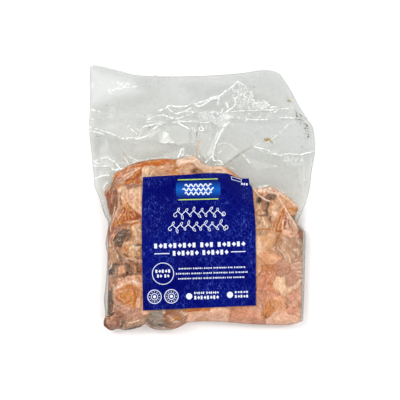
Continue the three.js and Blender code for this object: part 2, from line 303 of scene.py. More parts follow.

# Painted light and shade on facets of the film between its creases: how much whiter (painted highlight) or,
# below 0, darker (painted shade); softness, points.
FACET_LIGHT_AND_SHADE = """
-.9 .7 0 83 9 88 12 89 15 85 17 78 -6 80
-.5 .9 17 90 25 93 28 92 24 84 18 79
-.5 .7 -38 71 -34 74 -26 71
-.8 .7 -16 79 -9 84 -4 82 -9 79
-.7 .7 -6 72 -6 76 -1 76 1 71 -3 70
-1 2.5 -100 54 -72 53 -56 50 -62 40 -74 37 -97 36
-.5 1.2 -97 27 -88 27 -81 24 -83 21 -97 21
.8 2 -32 65 -22 66 -12 61 -11 50 -22 47 -28 54
.2 2 -10 50 -46 38 -62 40 -40 52
-.9 .6 20 28 34 39 46 46 75 35 86 26 90 10 70 8 46 11 34 20
-.5 .7 92 38 100 40 101 35 97 8 92 8
-.5 1 90 76 99 63 95 62 90 69
-.4 1 16 51 14 49 24 50 36 41 58 53 50 60 20 60
-.3 1.2 36 66 70 66 74 70 36 69
-.9 4 -20 104 0 104 24 100 12 94 -10 90
.3 1.4 -101 78 -30 72 -30 69 -101 70
.4 1 -40 60 -36 66 -34 66 -32 58 -24 49 -37 50
.45 1.2 -37 50 -34 61 -24 49 -30 51 -33 50
.4 2 -10 50 -10 61 -6 63 -5 50
.6 .6 13 31 14 48 22 48 28 46 34 41 20 30
.7 3 -2 37 0 58 10 62 13 36
.75 1 37 38 67 28 51 25 46 28
.65 1.2 30 80 30 91 33 102 38 100 44 92 46 88 58 85 56 80
1 1 11 66 12 72 21 76 28 74 24 69 18 64
.9 1.4 -4 69 -3 77 10 77 12 69
.4 .8 72 38 90 38 90 32 86 30 79 31
.5 .7 -102 78 -101 80 -92 78
.5 .7 -102 63 -94 62 -90 58 -101 59
.35 .8 -50 66 -50 69 -35 69 -36 67
.5 .8 -22 67 -21 69 -4 69 -4 67
.35 .8 -31 82 -16 82 -24 78 -30 79
.4 .7 -15 78 -8 77 -11 76 -24 76
.4 1.2 46 80 47 87 52 89 59 88 65 82 60 79
.4 .8 -94 32 -86 35 -79 32 -76 27
1.5 14 -106 124 -60 112 -50 94 -92 80 -106 80
-.9 5 -98 58 -78 60 -70 52 -80 42 -97 44
.35 2 -74 27 -80 26 -76 24
.15 8 40 110 66 112 76 92 62 88
.8 2 -38 35 -34 40 -22 43 -15 42 -14 38 -22 36
.6 .8 -50 55 -45 60 -39 65 -37 62 -42 57 -46 54
.6 3 -58 60 -30 62 -28 50 -54 52
.6 1.5 20 71 22 79 38 79 41 71
-.6 2 88 12 98 18 96 2 93 -6 87 -2
"""

# Colours of the fish, as the eye sees them, 0 to 255. The white and pearl tones also serve as painted
# highlights, and the soot and brown tones also as painted shade.
TONES = {
    "fire": (190, 100, 24), "ember": (206, 120, 44), "orange": (216, 140, 74),
    "flame": (228, 118, 32), "apricot": (222, 154, 102),
    "amber": (226, 178, 118), "peach": (226, 172, 136), "cream": (236, 200, 168), "pearl": (246, 222, 200),
    "white": (252, 242, 226), "rose": (216, 156, 132), "pink": (230, 182, 156), "blush": (206, 156, 134),
    "mauve": (184, 136, 118), "rust": (168, 112, 92), "brick": (182, 98, 64), "brown": (138, 88, 64),
    "umber": (150, 116, 98), "ash": (128, 106, 96), "soot": (88, 62, 52), "stone": (164, 152, 141),
    "beige": (212, 172, 140), "sand": (194, 154, 126), "clay": (182, 134, 108), "olive": (124, 92, 30),
}

# How far lines of some tones lie below or above the flesh round them.
LINE_RISE = {"soot": -0.9, "brown": -0.5, "brick": -0.25, "fire": -0.2, "pearl": 0.2, "white": 0.15}

# The fish that shows beside the label, painted in this order: tone, half width, points. Many of its white
# and pearl lines are painted highlights of the film over the fish, and its soot and brown lines along the
# lower outline are painted contact shade.
# right of the label; its white lines and pearl bands are painted highlights of the film's folds over the
# fish
# the lower edge; the soot and brown lines along the outline are painted contact shade
FISH = """
# along the upper edge
flame 0 -81 18 -80 21 -70 28 -57 34 -45 36 -30 36 -27 34 -31 30 -50 29 -63 27 -74 22 -78 18
fire .9 -74 23.5 -68 26.5 -60 29.5 -52 30.5 -44 29.5
ember .8 -66 28.5 -46 33.5 -36 34
ember 1.1 -51 30 -44 31 -36 31
amber .5 -79 20.5 -69 26.5
cream .4 -67 26.5 -61 29.5 -55 30
amber .4 -50 32.5 -36 34
flame .8 -56 28 -47 29.5 -42 29.5 -38 28.5
pink 0 -74 19 -63 26 -55 27 -67 17
ember .5 -71 21.5 -61.5 25
pearl .4 -71 19.5 -61 24 -56.5 27
pearl .4 -69.5 16.5 -62 21.5
ember 0 -69 11 -70 15 -54 27 -53 20 -56 18 -54 15 -57 13 -62 14
fire 1.8 -62 17 -58 19 -56 23
apricot .6 -67.5 13.5 -65 15 -61 15.5
amber .4 -63.5 17.5 -59 21 -56 24.5
blush 1 -56 17 -55 18
brick .5 -60.5 12.5 -53.5 14
cream 0 -54 18 -53 26 -51 28 -45 29 -42 28 -42 18
amber 1 -47 23 -44 26
peach 0 -41 18 -42 28 -34 30 -29 32 -27 18
brick .6 -32.5 24 -30 24
pearl .4 -40 25.5 -33.5 29
sand .8 -43 20.5 -30 22
apricot 0 -28 35 -28 18 -20 18 -20 35
ember .8 -29 33 -27 30 -27 26
pearl .4 -25.5 32 -26 26
ember .5 -24.5 33 -25.5 24
pearl .4 -23 32 -23.5 26
ember .5 -21.5 33 -23 24
pearl .9 -22 25 -19 22.5
umber .8 -20 21.5 -16 22
pink 0 -20 35 -6 38 -3 34 -19 31
peach 0 -20 31 -18 30 -18 18 -20 18
umber 0 -17 30 -12 32 -6 32 -7 29 -11 30 -15 29
beige 3 -16 26 -12 26
umber 0 -10 26 -2 26 -4 24 -7 22 -10 23
brown .7 -7.5 23 -5.5 23.5
pearl .8 -4 29 -1.5 27.5
pearl 3.1 -20 32 -8 35 2 28 20 25
peach 1.2 -18 29.5 -10 31.5
cream 1.3 0 26 18 25
amber 1 4 25 6 26
pearl .5 1 23.5 20 23
mauve .7 14 25 18 25
peach 1.3 20 27 33 19
apricot .7 28 22 31 20
# beside the label, above the orange fan
blush 0 -80 19 -74 19 -69 15 -70 8 -76 8
pearl .4 -80 17.5 -76 16 -73 16.5
pearl .35 -80.5 13 -72.5 14.5
orange .8 -73 15.5 -70.5 13.5
ember .7 -76 11 -72.5 11
mauve 0 -69 12 -62 13 -54 12 -54 9 -68 7
blush 1 -60 10 -56 10
cream 0 -76 -12 -76 8 -73 11 -70 10 -66 7 -54 10 -54 -15 -64 -9 -69 -3 -71 -8
orange .4 -74.5 9.5 -72.5 6.5 -73 2.5
orange .5 -73.5 .5 -72.5 -5 -71 -9
apricot .4 -70 8.5 -68.5 5 -69.5 1.5 -68 -1.5
pearl .9 -74 7.5 -71 4 -71.5 -.5
clay .4 -75.5 5 -74 2 -74 -3
orange .5 -68.5 -2 -62.5 -10 -58 -14
rose .5 -65 7 -66.5 3.5 -65.5 -1 -62 -5.5
peach 1.6 -58 3 -57 -2 -55 -6
pink 2 -63 2 -62 -2
peach 1.2 -60 -5 -56 -12
rust 0 -87 4 -80 10 -77 9 -76 6 -75 -3 -80 -19 -83 -16 -87 -3
brick 1.4 -84 4 -84 -6
mauve 1.4 -77 2 -77 -6 -79 -13
umber 1 -76 0 -77 -7 -78 -13
brick .7 -80 4 -81.5 -2 -81 -8
pearl .4 -83.5 4.5 -79 8
pink .4 -81.5 3 -81 -2 -80.5 -5
sand 0 -89 3 -80 20 -76 12 -78 9 -83 8
apricot 1.6 -80 13 -77 10
pearl .5 -86 7 -82.5 10 -80.5 14
pearl .4 -76 -9.5 -76.5 -12 -80.5 -20
pearl .4 -78.5 -8 -79 -13 -80.5 -17
pearl .6 -82 -15.5 -82 -18
# the orange fan
ember 0 -70 -11 -71 -5 -69 -8 -68 -3 -66 -7 -55 -17 -63 -20 -70 -20 -71 -18 -78 -22 -75 -12
fire 0 -71 -9 -66 -8 -54 -17 -58 -20 -65 -20 -70 -16 -76 -21 -75 -13
fire 1.2 -75 -21 -68 -20
ember 1.4 -72 -16 -66 -17
amber .5 -70 -5 -69 -8 -67.5 -10
amber .4 -68 -6 -65.5 -9.5 -62 -12 -59.5 -16
pearl .4 -73 -11.5 -75.5 -16
pearl .4 -70.5 -11.5 -76.5 -21
brick .7 -72 -14 -69 -12.5
brick .7 -67 -13 -67.5 -19
amber .4 -67.5 -10.5 -69 -15 -68.5 -19
apricot .4 -65.5 -11 -66.5 -15 -65.5 -19.5
amber .6 -63.5 -15 -62 -17.5
brick .4 -70.5 -20.5 -64 -21 -57 -20
cream .5 -66 -22.5 -62 -21 -57 -20.5
ember .8 -65 -24 -58 -22
fire .5 -63.5 -24.5 -61.5 -23.5
orange 0 -79 -21 -75 -20 -66 -22 -66 -25 -80 -28
ember .8 -75.5 -22.5 -70 -22.5 -67 -23.5
rust 1.3 -74 -25 -66 -23.5
ember .5 -78 -18 -80 -27
mauve 0 -80 -27 -75 -26 -68 -27 -79 -33
# the left edge and the grey piece
blush 0 -84 -22 -81 -20 -80 -27 -80 -44 -85 -44
brick .9 -79.5 -24 -81 -37
brick .6 -84 -26 -83.5 -31 -84.5 -42
rust .9 -82 -28 -82 -35
pearl .4 -82 -25 -82.5 -29.5
pearl .4 -80.5 -33 -82 -36
ember .5 -82 -38 -81.5 -42
pearl .7 -83 -41 -82.5 -45
beige 0 -66 -25 -60 -25 -54 -23 -54 -41 -66 -38 -63 -32
cream 1.3 -62 -27 -57 -25
cream 1.5 -60.5 -30 -59.5 -36
pearl .8 -58.5 -28.5 -55 -30.5
amber .8 -64 -26.5 -60.5 -34
sand .4 -59.5 -26.5 -57.5 -31 -57.5 -36
umber 1.3 -64.5 -34.5 -66 -36 -68 -39
ash 0 -79 -38 -76 -31 -70 -27 -65 -28 -63 -32 -66 -35 -70 -38 -72 -44 -78 -44 -79 -41
brown 1 -71 -29 -69 -28
umber 1.4 -70 -32 -67 -33
mauve .9 -65 -30.5 -64.5 -33
soot .7 -79.5 -38.5 -77 -34.5
stone .7 -79 -40 -76 -37.5
umber 1.3 -76 -42 -73 -41
brown .8 -75 -43.5 -73 -44
# the crumbly yellow piece and the greyish ones round it
sand 0 -84 -44 -74 -45 -69 -49 -68 -57 -75 -59 -82 -57
beige .9 -82.5 -48 -79 -57
cream .5 -79.5 -46 -77 -50 -74.5 -56
brown .5 -77 -47 -72.5 -53.5
umber 1.4 -74 -54 -72 -57
amber .6 -73 -46.5 -70.5 -51
amber .8 -82.5 -46.5 -81.5 -49
beige 0 -71 -41 -62 -38 -59 -41 -58 -53 -61 -56 -67 -53 -71 -46
cream 1.3 -69 -41 -64 -40
amber 1.6 -67 -44 -64 -45
orange 1.3 -67 -46 -67 -49
ember 1 -67 -51 -64 -52
amber 1 -64 -48 -61 -52
ember .6 -69.5 -44.5 -68.5 -48.5
brown 1 -70 -50.5 -66 -53
pearl .5 -65 -47 -63.5 -44.5
pearl .6 -66 -50.5 -64.5 -51
white .8 -61.5 -43.5 -60 -45.5
stone 0 -61 -41 -54 -42 -54 -46 -61 -46
pearl .9 -60.5 -44.5 -57.5 -45.5
amber .7 -57.5 -44 -54.5 -44.5
olive .8 -57.5 -42 -54.5 -42.5
clay 0 -59 -48 -54 -47 -54 -56 -58 -56
amber .6 -57.5 -49 -55 -50.5
brown .7 -59.5 -53.5 -57.5 -55.5
umber 1.2 -66 -56 -62 -58
stone 1 -69 -55 -67 -58
mauve 1.2 -58 -58 -55 -59
# the band of dark marks
clay 0 -80 -59 -66 -58 -54 -59 -54 -69 -60 -71 -66 -70 -76 -73 -80 -71
umber 0 -82 -58 -76 -59 -80 -71 -84 -71 -84 -64
soot 2.8 -83 -63 -82 -66 -83 -71
soot .6 -79.5 -59.5 -74 -60
ash 1.3 -81 -61 -80 -67
stone .9 -77.5 -61.5 -77 -67 -78 -71.5
peach 0 -75 -61 -71 -60 -69 -66 -71 -68 -76 -69
umber .9 -74.5 -60.5 -70.5 -60
brown 0 -72 -70 -66 -66 -65 -69 -70 -72
soot .7 -67.5 -67 -66.5 -68.5
soot .6 -69 -58.5 -67 -60.5
brown 1.2 -65 -61 -63 -69
ash 1 -67 -60 -66 -64
peach .9 -60.5 -62 -60 -67
brown 1.6 -58 -60 -57 -66
brick .8 -55 -62 -54.5 -66
pearl .5 -82 -57.5 -80.5 -58.5 -81 -60.5 -82.5 -61.5 -83.5 -60 -83 -58.5
pearl .6 -81.5 -62 -84 -64
# the large orange lump
sand 0 -87 -70 -78 -70 -76 -80 -80 -84 -87 -84
blush 1.4 -83 -73 -82 -79
pink 0 -76 -73 -66 -71 -60 -71 -54 -69 -54 -78 -66 -77 -79 -85 -80 -78
brown .4 -65.5 -67 -70 -73 -72.5 -75
rose .7 -76 -74 -72 -76.5 -69.5 -76
blush .8 -66.5 -72.5 -63 -74.5
cream .7 -69 -78 -64 -75.5 -61.5 -75
orange .6 -61.5 -72 -59.5 -72.5 -57 -71
white .9 -61.5 -75 -58 -77.5
apricot 1 -57 -72 -55 -76
orange 1.1 -78 -76 -77 -77
pearl .9 -76 -81 -71.5 -78.5
brick 1 -84 -73 -85 -90
clay 1.4 -78 -74 -78 -79
blush 0 -79 -86 -78 -84 -72 -94 -60 -99 -54 -100 -54 -108 -78 -104
apricot 0 -78 -85 -68 -78 -62 -78 -55 -83 -56 -88 -62 -97 -69 -97 -75 -90
orange 1.3 -76 -84 -66 -80 -61 -80 -58 -82
peach .8 -77 -85.5 -67 -83 -64 -83.5
orange 2 -72 -88 -65 -86
ember 1.3 -72 -89 -70 -89
brick .7 -77 -89.5 -74.5 -92 -71.5 -94
orange 2.4 -61 -88 -61 -97
ember .8 -61 -84 -59 -92 -61.5 -97
ember .8 -68 -95 -64 -92
brick .6 -63 -79 -60.5 -85
cream .5 -74.5 -96 -70 -99.5 -65 -99.5
peach .5 -55.5 -85 -58.5 -99
orange .6 -54.5 -84 -55 -98.5
ash 0 -83 -82 -81 -80 -79 -94 -80 -105 -83 -107 -87 -103 -86 -92
stone .7 -81 -79.5 -80 -92
brown .8 -83 -90 -83.5 -97 -82.5 -103
# the lower edge
blush 0 -79 -99 -66 -99 -65 -112 -81 -108
mauve 0 -79 -107 -67 -105 -67 -112 -80 -110
soot .6 -85 -107 -83 -107.5 -78 -103.5
rust 0 -90 -109 -83 -108 -78 -110 -73 -110 -71 -112 -72 -115 -75 -118 -85 -120 -89 -117
blush 2 -85 -111 -79 -113
brown .9 -88.5 -110 -88.5 -114 -86.5 -117.5 -82.5 -119.5 -75.5 -118.5
soot .9 -70.5 -111 -70.5 -114 -72 -116.5
soot .5 -71.5 -115.5 -75.5 -118
soot .6 -89 -112 -88 -115 -85 -118.5 -82 -119.5 -77 -118.5
stone .8 -72.5 -111 -71 -111
sand 0 -69 -110 -64 -106 -52 -105 -47 -103 -49 -110 -52 -114 -62 -118 -70 -120 -73 -118
blush 2 -62 -109 -56 -108
rust .9 -69 -112.5 -68.5 -117
pearl .6 -66 -112.5 -61 -112 -57 -110.5
soot .5 -75 -118.5 -70 -119 -65 -118.5
stone 0 -47 -102 -36 -101 -34 -106 -36 -110 -33 -113 -35 -116 -41 -118 -46 -117 -50 -112
ash 1.4 -49 -110 -45 -114
rust .8 -46 -116 -41 -116.5
ash 1.3 -39 -114 -26 -117
stone 1.1 -44 -118 -28 -118
soot .9 -65 -118 -50.5 -115 -44 -119.5
soot .5 -39.5 -114 -26 -117
clay 0 -34 -99 -13 -99 -13 -112 -26 -118 -32 -115 -35 -108
pearl .8 -34 -101 -33.5 -104
brick .9 -32.5 -104.5 -31 -107
umber 1.6 -34 -111 -30 -114
orange 1.4 -27 -109 -21 -108
rust 1.2 -29 -104 -24 -105
pearl .7 -19 -102 -15 -105
pearl .6 -29 -107 -24 -112 -19.5 -112
sand 1.2 -24 -101 -18 -101
brick .8 -24 -117 -13.5 -112
ember 1.8 -13 -101 6 -100
fire .7 -12 -102.5 -2 -101
# right of the label
beige 0 46 9 56 -2 60 -4 62 -17 50 -17 47 -8
pink 0 48 9 62 10 67 7 68 4 58 3 52 4
pearl 1.3 51 6 57 7 64 6 75 0 82 -6
white .5 52 8 55 8.5
white 1 60 8 62 8
rose .5 62 6.5 66 5.5
apricot .8 54 3 55.5 3
umber 0 56 1 60 4 67 3 68 1 67 -1 60 -2
clay 0 53 -3 57 -2 61 -4 59 -14 56 -13
ash 2.7 51 -2 52 -2
soot 1.4 52 -1 52 -4
ash 1.2 60 -4 58 -11 59 -14
umber 1.1 59 -15 55 -16 50 -17
cream .8 50.5 -7.5 55.5 -14
orange .6 51.5 -10 53 -13
ember .7 48.5 -13.5 49 -15
beige 0 48 -17 62 -17 64 -28 57 -34 48 -34
cream 1.6 56 -19 58 -26
ember .6 50 -28.5 62 -28.5
stone .9 51 -21.5 52.5 -22.5
peach 0 61 -3 69 1 75 -9 65 -27 62 -18
apricot 2 65 -6 66 -10
cream 2.6 66 -7 64 -17
pearl 1.2 65 -13 66 -14
clay .6 62 -16.5 61 -19
white .55 46.5 9 53.5 1 56 -1 61 -3
brick .35 50 6 53 2.5 56 .5
peach 0 69 7 88 -6 86 -14 79 -14 73 -6 71 -1
orange 1.6 78 -10 86 -12
brick .5 78 -12 79.5 -14
pearl 1 70 5 81 -3 85 -7
cream 1.2 73 3 84 -6
umber 0 80 -15 84 -16 84 -23 82 -21
pink 0 76 -11 85 -25 89 -34 79 -36 70 -30
peach 2 80 -25 82 -30
cream .8 83 -21 86 -27
ember .9 74 -9.5 68 -24 67 -29.5
ember .6 74 -12.5 70 -30
pink .3 72.5 -14.5 69 -26
brick 1 75.5 -18 74.5 -27
rust .8 78 -20 79 -27
fire 1 68 -30 71 -30
brick .4 66.5 -21.5 63.5 -29
pearl .7 74 -19.5 73 -22.5
mauve .5 75.5 -16 76.5 -19 76 -24
white .45 68.5 2.5 73 -6.5 84 -23.5 87.5 -31
orange .6 57 -28.5 64 -29
rust 0 86 -25 90 -26 92 -30 92 -40 88 -36
brick .6 87 -30.5 89 -34.5
brick .8 90.5 -29 90.5 -33
"""

# Tones of the fish where nothing of it shows, and how many chunks it has there.
HIDDEN_TONES = """
peach pink rose peach blush pink cream apricot peach rose sand pink blush peach blush rose
""".split()
CHUNKS = 64


# Curves and fields

def curve(text):
    """A smooth curve through pairs of place and value."""
    place, value = np.array(text.split(), float).reshape(-1, 2).T
    slope = np.gradient(value, place)
    slope[1:-1] = (value[2:] - value[:-2]) / (place[2:] - place[:-2])

    def at(where):
        where = np.clip(where, place[0], place[-1])
        i = np.clip(np.searchsorted(place, where, side="right") - 1, 0, len(place) - 2)
        step = place[i + 1] - place[i]
        t = (where - place[i]) / step
        rise = value[i] * (1 + 2 * t) * (1 - t) ** 2 + value[i + 1] * t * t * (3 - 2 * t)
        return rise + step * (slope[i] * t * (1 - t) ** 2 + slope[i + 1] * t * t * (t - 1))
    return at


bag_left, bag_right, bag_bottom, bag_top = map(curve, (BAG_LEFT, BAG_RIGHT, BAG_BOTTOM, BAG_TOP))
heap_top, heap_right = map(curve, (HEAP_TOP, HEAP_RIGHT))
fish_left, fish_right, fish_top = map(curve, (FISH_LEFT, FISH_RIGHT, FISH_TOP))
label_left, label_right = map(curve, (LABEL_LEFT, LABEL_RIGHT))
label_bottom, label_top = map(curve, (LABEL_BOTTOM, LABEL_TOP))

# Cells of a noise table, and the place in it that the plan's origin meets.
NOISE_CELLS, NOISE_ORIGIN = 128, (500.37, 500.71)


def lerp(a, b, t):
    return a + (b - a) * t


def smooth(value, low, high):
    """0 up to low, 1 from high on, and a smooth step between them."""
    t = np.clip((value - low) / (high - low), 0, 1)
    return t * t * (3 - 2 * t)


def noise(x, y, cell, seed):
    """Smooth noise from -1 to 1 whose bumps are about cell wide."""
    table = np.random.default_rng(seed).random((NOISE_CELLS, NOISE_CELLS)) * 2 - 1
    gx, gy = np.asarray(x) / cell + NOISE_ORIGIN[0], np.asarray(y) / cell + NOISE_ORIGIN[1]
    ix, iy = np.floor(gx).astype(int), np.floor(gy).astype(int)
    fx, fy = smooth(gx - ix, 0, 1), smooth(gy - iy, 0, 1)
    ix, iy, jx, jy = (at % NOISE_CELLS for at in (ix, iy, ix + 1, iy + 1))
    return lerp(lerp(table[ix, iy], table[jx, iy], fx), lerp(table[ix, jy], table[jx, jy], fx), fy)


def layered(x, y, cell, seed, layers=3):
    """Noise in layers, each half as wide and half as strong as the one before."""
    total = sum(noise(x, y, cell / 2 ** k, seed + k) / 2 ** k for k in range(layers))
    return total / sum(0.5 ** k for k in range(layers))


def patches(x, y, cell, seed, low, high):
    """Soft patches: 0 where noise lies below low, 1 where it lies above high."""
    return smooth(noise(x, y, cell, seed), low, high)


def veins(x, y, cell, seed, layers, sharpness):
    """Thin wandering lines, 1 along their middle."""
    return np.exp(-np.abs(layered(x, y, cell, seed, layers)) * sharpness)


def wobbled(x, y, *waves):
    """Places pushed about; each wave has a size, a reach and a seed for x and for y."""
    wx, wy = x, y
    for cell, reach, seed_x, seed_y in waves:
        wx = wx + layered(x, y, cell, seed_x) * reach
        wy = wy + layered(x, y, cell, seed_y) * reach
    return wx, wy


def away_from(points, x, y):
    """Distance to a chain of straight runs."""
    if len(points) == 1:
        return np.hypot(x - points[0][0], y - points[0][1])
    best = np.full(np.shape(x), np.inf)
    for (ax, ay), (bx, by) in zip(points, points[1:]):
        rx, ry = bx - ax, by - ay
        t = np.clip(((x - ax) * rx + (y - ay) * ry) / (rx * rx + ry * ry + 1e-9), 0, 1)
        best = np.minimum(best, np.hypot(x - ax - t * rx, y - ay - t * ry))
    return best


def outside(points, x, y):
    """Distance to a closed outline, below 0 inside it."""
    inside = np.zeros(np.shape(x), bool)
    for (ax, ay), (bx, by) in zip(points, points[1:] + points[:1]):
        crosses = (ay > y) != (by > y)
        inside ^= crosses & (x < ax + (bx - ax) * (y - ay) / (by - ay + 1e-12))
    away = away_from(points + points[:1], x, y)
    return np.where(inside, -away, away)


def table_rows(text):
    """Each row of a table as its two leading words and its points."""
    for line in text.strip().splitlines():
        if line.startswith("#"):
            continue
        first, second, *cells = line.split()
        numbers = [float(cell) for cell in cells]
        yield first, second, list(zip(numbers[::2], numbers[1::2]))


def near(points, reach, x, y):
    """Which places may lie within reach of a row's points."""
    low, high = np.min(points, axis=0) - reach, np.max(points, axis=0) + reach
    return np.flatnonzero((x > low[0]) & (x < high[0]) & (y > low[1]) & (y < high[1]))


def turned(x, y, cx, cy, half_x, half_y, degrees):
    """Places measured from the middle of a turned oval, in its half sizes."""
    c, s = math.cos(math.radians(degrees)), math.sin(math.radians(degrees))
    dx, dy = x - cx, y - cy
    return (dx * c + dy * s) / half_x, (dy * c - dx * s) / half_y


# Rounds until x and y of a patch agree.
PATCH_STEPS = 40


def patch(across, along, left, right, y_at):
    """The points at shares across and along a patch with four curved edges."""
    y = y_at(lerp(left(0.0), right(0.0), across), along)
    for _ in range(PATCH_STEPS):
        x = lerp(left(y), right(y), across)
        y = (y + y_at(x, along)) / 2
    return x, y


# The bag's own shape, the same as the frame's solid

def quarter_round(distance, reach):
    """A rounded edge's share of the full height at a distance from it."""
    share = np.clip(distance / reach, 0, 1)
    return np.sqrt(1 - (1 - share) ** 2)


def depth_from_sides(x, y):
    """How deep a place lies in the heap, with corners blended; 0 outside it."""
    sides = [x - bag_left(y) - SIDE_FILM, heap_right(y) - x, y - bag_bottom(x) - END_FILM]
    total = sum(np.exp(-np.clip(d, FAR_OUTSIDE, None) / CORNER_BLEND) for d in sides)
    return np.maximum(-np.log(total) * CORNER_BLEND, 0)


def inside_label(x, y):
    """Distance to the label's nearest edge, below 0 outside it."""
    return np.minimum.reduce([x - label_left(y), label_right(y) - x, y - label_bottom(x), label_top(x) - y])


def pressed_share(x, y):
    return smooth(inside_label(x, y), -PRESS_START, -PRESS_MARGIN)


def piece_rise(x, y):
    """How far the pieces of fish stand above the heap."""
    rise = np.zeros(np.shape(x))
    for cx, cy, half_x, half_y, degrees, height in PIECES:
        a, b = turned(x, y, cx, cy, half_x, half_y, degrees)
        rise = np.maximum(rise, height * np.maximum(1 - a * a - b * b, 0) ** PIECE_ROUNDNESS)
    return rise


def heap_height(x, y):
    off = ((x - HEAP_MIDDLE[0]) / HEAP_REACH[0]) ** 2 + ((y - HEAP_MIDDLE[1]) / HEAP_REACH[1]) ** 2
    swell = PRESSED_RISE + SWELL_HEIGHT * np.cos(2 * np.pi * x / SWELL_LENGTH[0]) * np.cos(
        2 * np.pi * y / SWELL_LENGTH[1])
    lumps = lerp(piece_rise(x, y), swell, pressed_share(x, y))
    return HEAP_HEIGHT + HEAP_CROWN * np.maximum(1 - off, 0) + lumps


def fold_rise(x, y):
    rise = np.zeros(np.shape(x))
    for start, end, height, half in FOLDS:
        rise += height * (1 - smooth(away_from((start, end), x, y), 0, half))
    return rise


def film_height(x, y):
    """Middle of the film's thickness: level beside the heap, drooping along the flap."""
    beyond = y - heap_top(x)
    droop = smooth(beyond, 0, FLAP_DROOP_LENGTH)
    return lerp(RIM_HEIGHT, FLAP_END_HEIGHT, droop) + fold_rise(x, y) * smooth(beyond, 0, FOLDS_FULL)


def upper_side(x, y):
    slope = smooth(heap_top(x) - y, -SLOPE_FOOT, SLOPE_LENGTH - SLOPE_FOOT)
    share = quarter_round(depth_from_sides(x, y), SIDE_ROUNDING) * slope
    return lerp(film_height(x, y) + FILM_THICKNESS / 2, heap_height(x, y), share)


def under_side(x, y):
    slope = smooth(heap_top(x) - y, 0, UNDERSIDE_SLOPE_LENGTH)
    share = quarter_round(depth_from_sides(x, y), UNDERSIDE_ROUNDING) * slope
    return lerp(film_height(x, y) - FILM_THICKNESS / 2, 0.0, share)


# Where the plan's origin lies in the frame. The solid's left end is the plan's left end.
PLAN_LEFT_END = -101.7
SHIFT_X, SHIFT_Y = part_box("pouch")[0].x / MM - PLAN_LEFT_END, 0.09


# Meshes

def make_mesh(name, points, faces, material, replaces="pouch"):
    """A piece from points of the plan, with what the frame has to know of it."""
    mesh = bpy.data.meshes.new(name)
    metres = (np.asarray(points, float) + (SHIFT_X, SHIFT_Y, 0)) * MM
    mesh.from_pydata(metres.tolist(), [], [tuple(f) for f in faces])
    mesh.update()
    mesh.polygons.foreach_set("use_smooth", [True] * len(mesh.polygons))
    mesh.materials.append(material)
    piece = bpy.data.objects.new(name, mesh)
    bpy.context.scene.collection.objects.link(piece)
    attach(piece, "root")
    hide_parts(replaces)
    return piece


def paint(piece, name, colours):
    """Stores a colour at each vertex."""
    colours = np.column_stack([colours, np.ones(len(colours))])
    layer = piece.data.color_attributes.new(name, "FLOAT_COLOR", "POINT")
    layer.data.foreach_set("color", np.ascontiguousarray(colours, dtype=np.float32).ravel())


def grid_quads(columns, rows, first=0, flipped=False):
    row, column = np.meshgrid(np.arange(rows), np.arange(columns), indexing="ij")
    a = (first + row * (columns + 1) + column).ravel()
    quads = np.column_stack([a, a + 1, a + columns + 2, a + columns + 1])
    return quads[:, ::-1] if flipped else quads


def grid_rim(columns, rows):
    """The points round a grid, in order."""
    at = np.arange((columns + 1) * (rows + 1)).reshape(rows + 1, columns + 1)
    return np.concatenate([at[0, :-1], at[:-1, -1], at[-1, :0:-1], at[:0:-1, 0]])


def shares(columns, rows, crowding=0.0):
    """Shares across and along for each point of a grid; crowding packs the columns to the sides."""
    across = np.linspace(0, 1, columns + 1)
    across = lerp(across, (1 - np.cos(np.pi * across)) / 2, crowding)
    grid = np.meshgrid(across, np.linspace(0, 1, rows + 1))
    return grid[0].ravel(), grid[1].ravel()


def linear(rgb):
    """A colour as the eye sees it, 0 to 255, in the renderer's linear numbers."""
    c = np.asarray(rgb, float) / 255
    return np.where(c <= 0.04045, c / 12.92, ((c + 0.055) / 1.055) ** 2.4)


# Materials

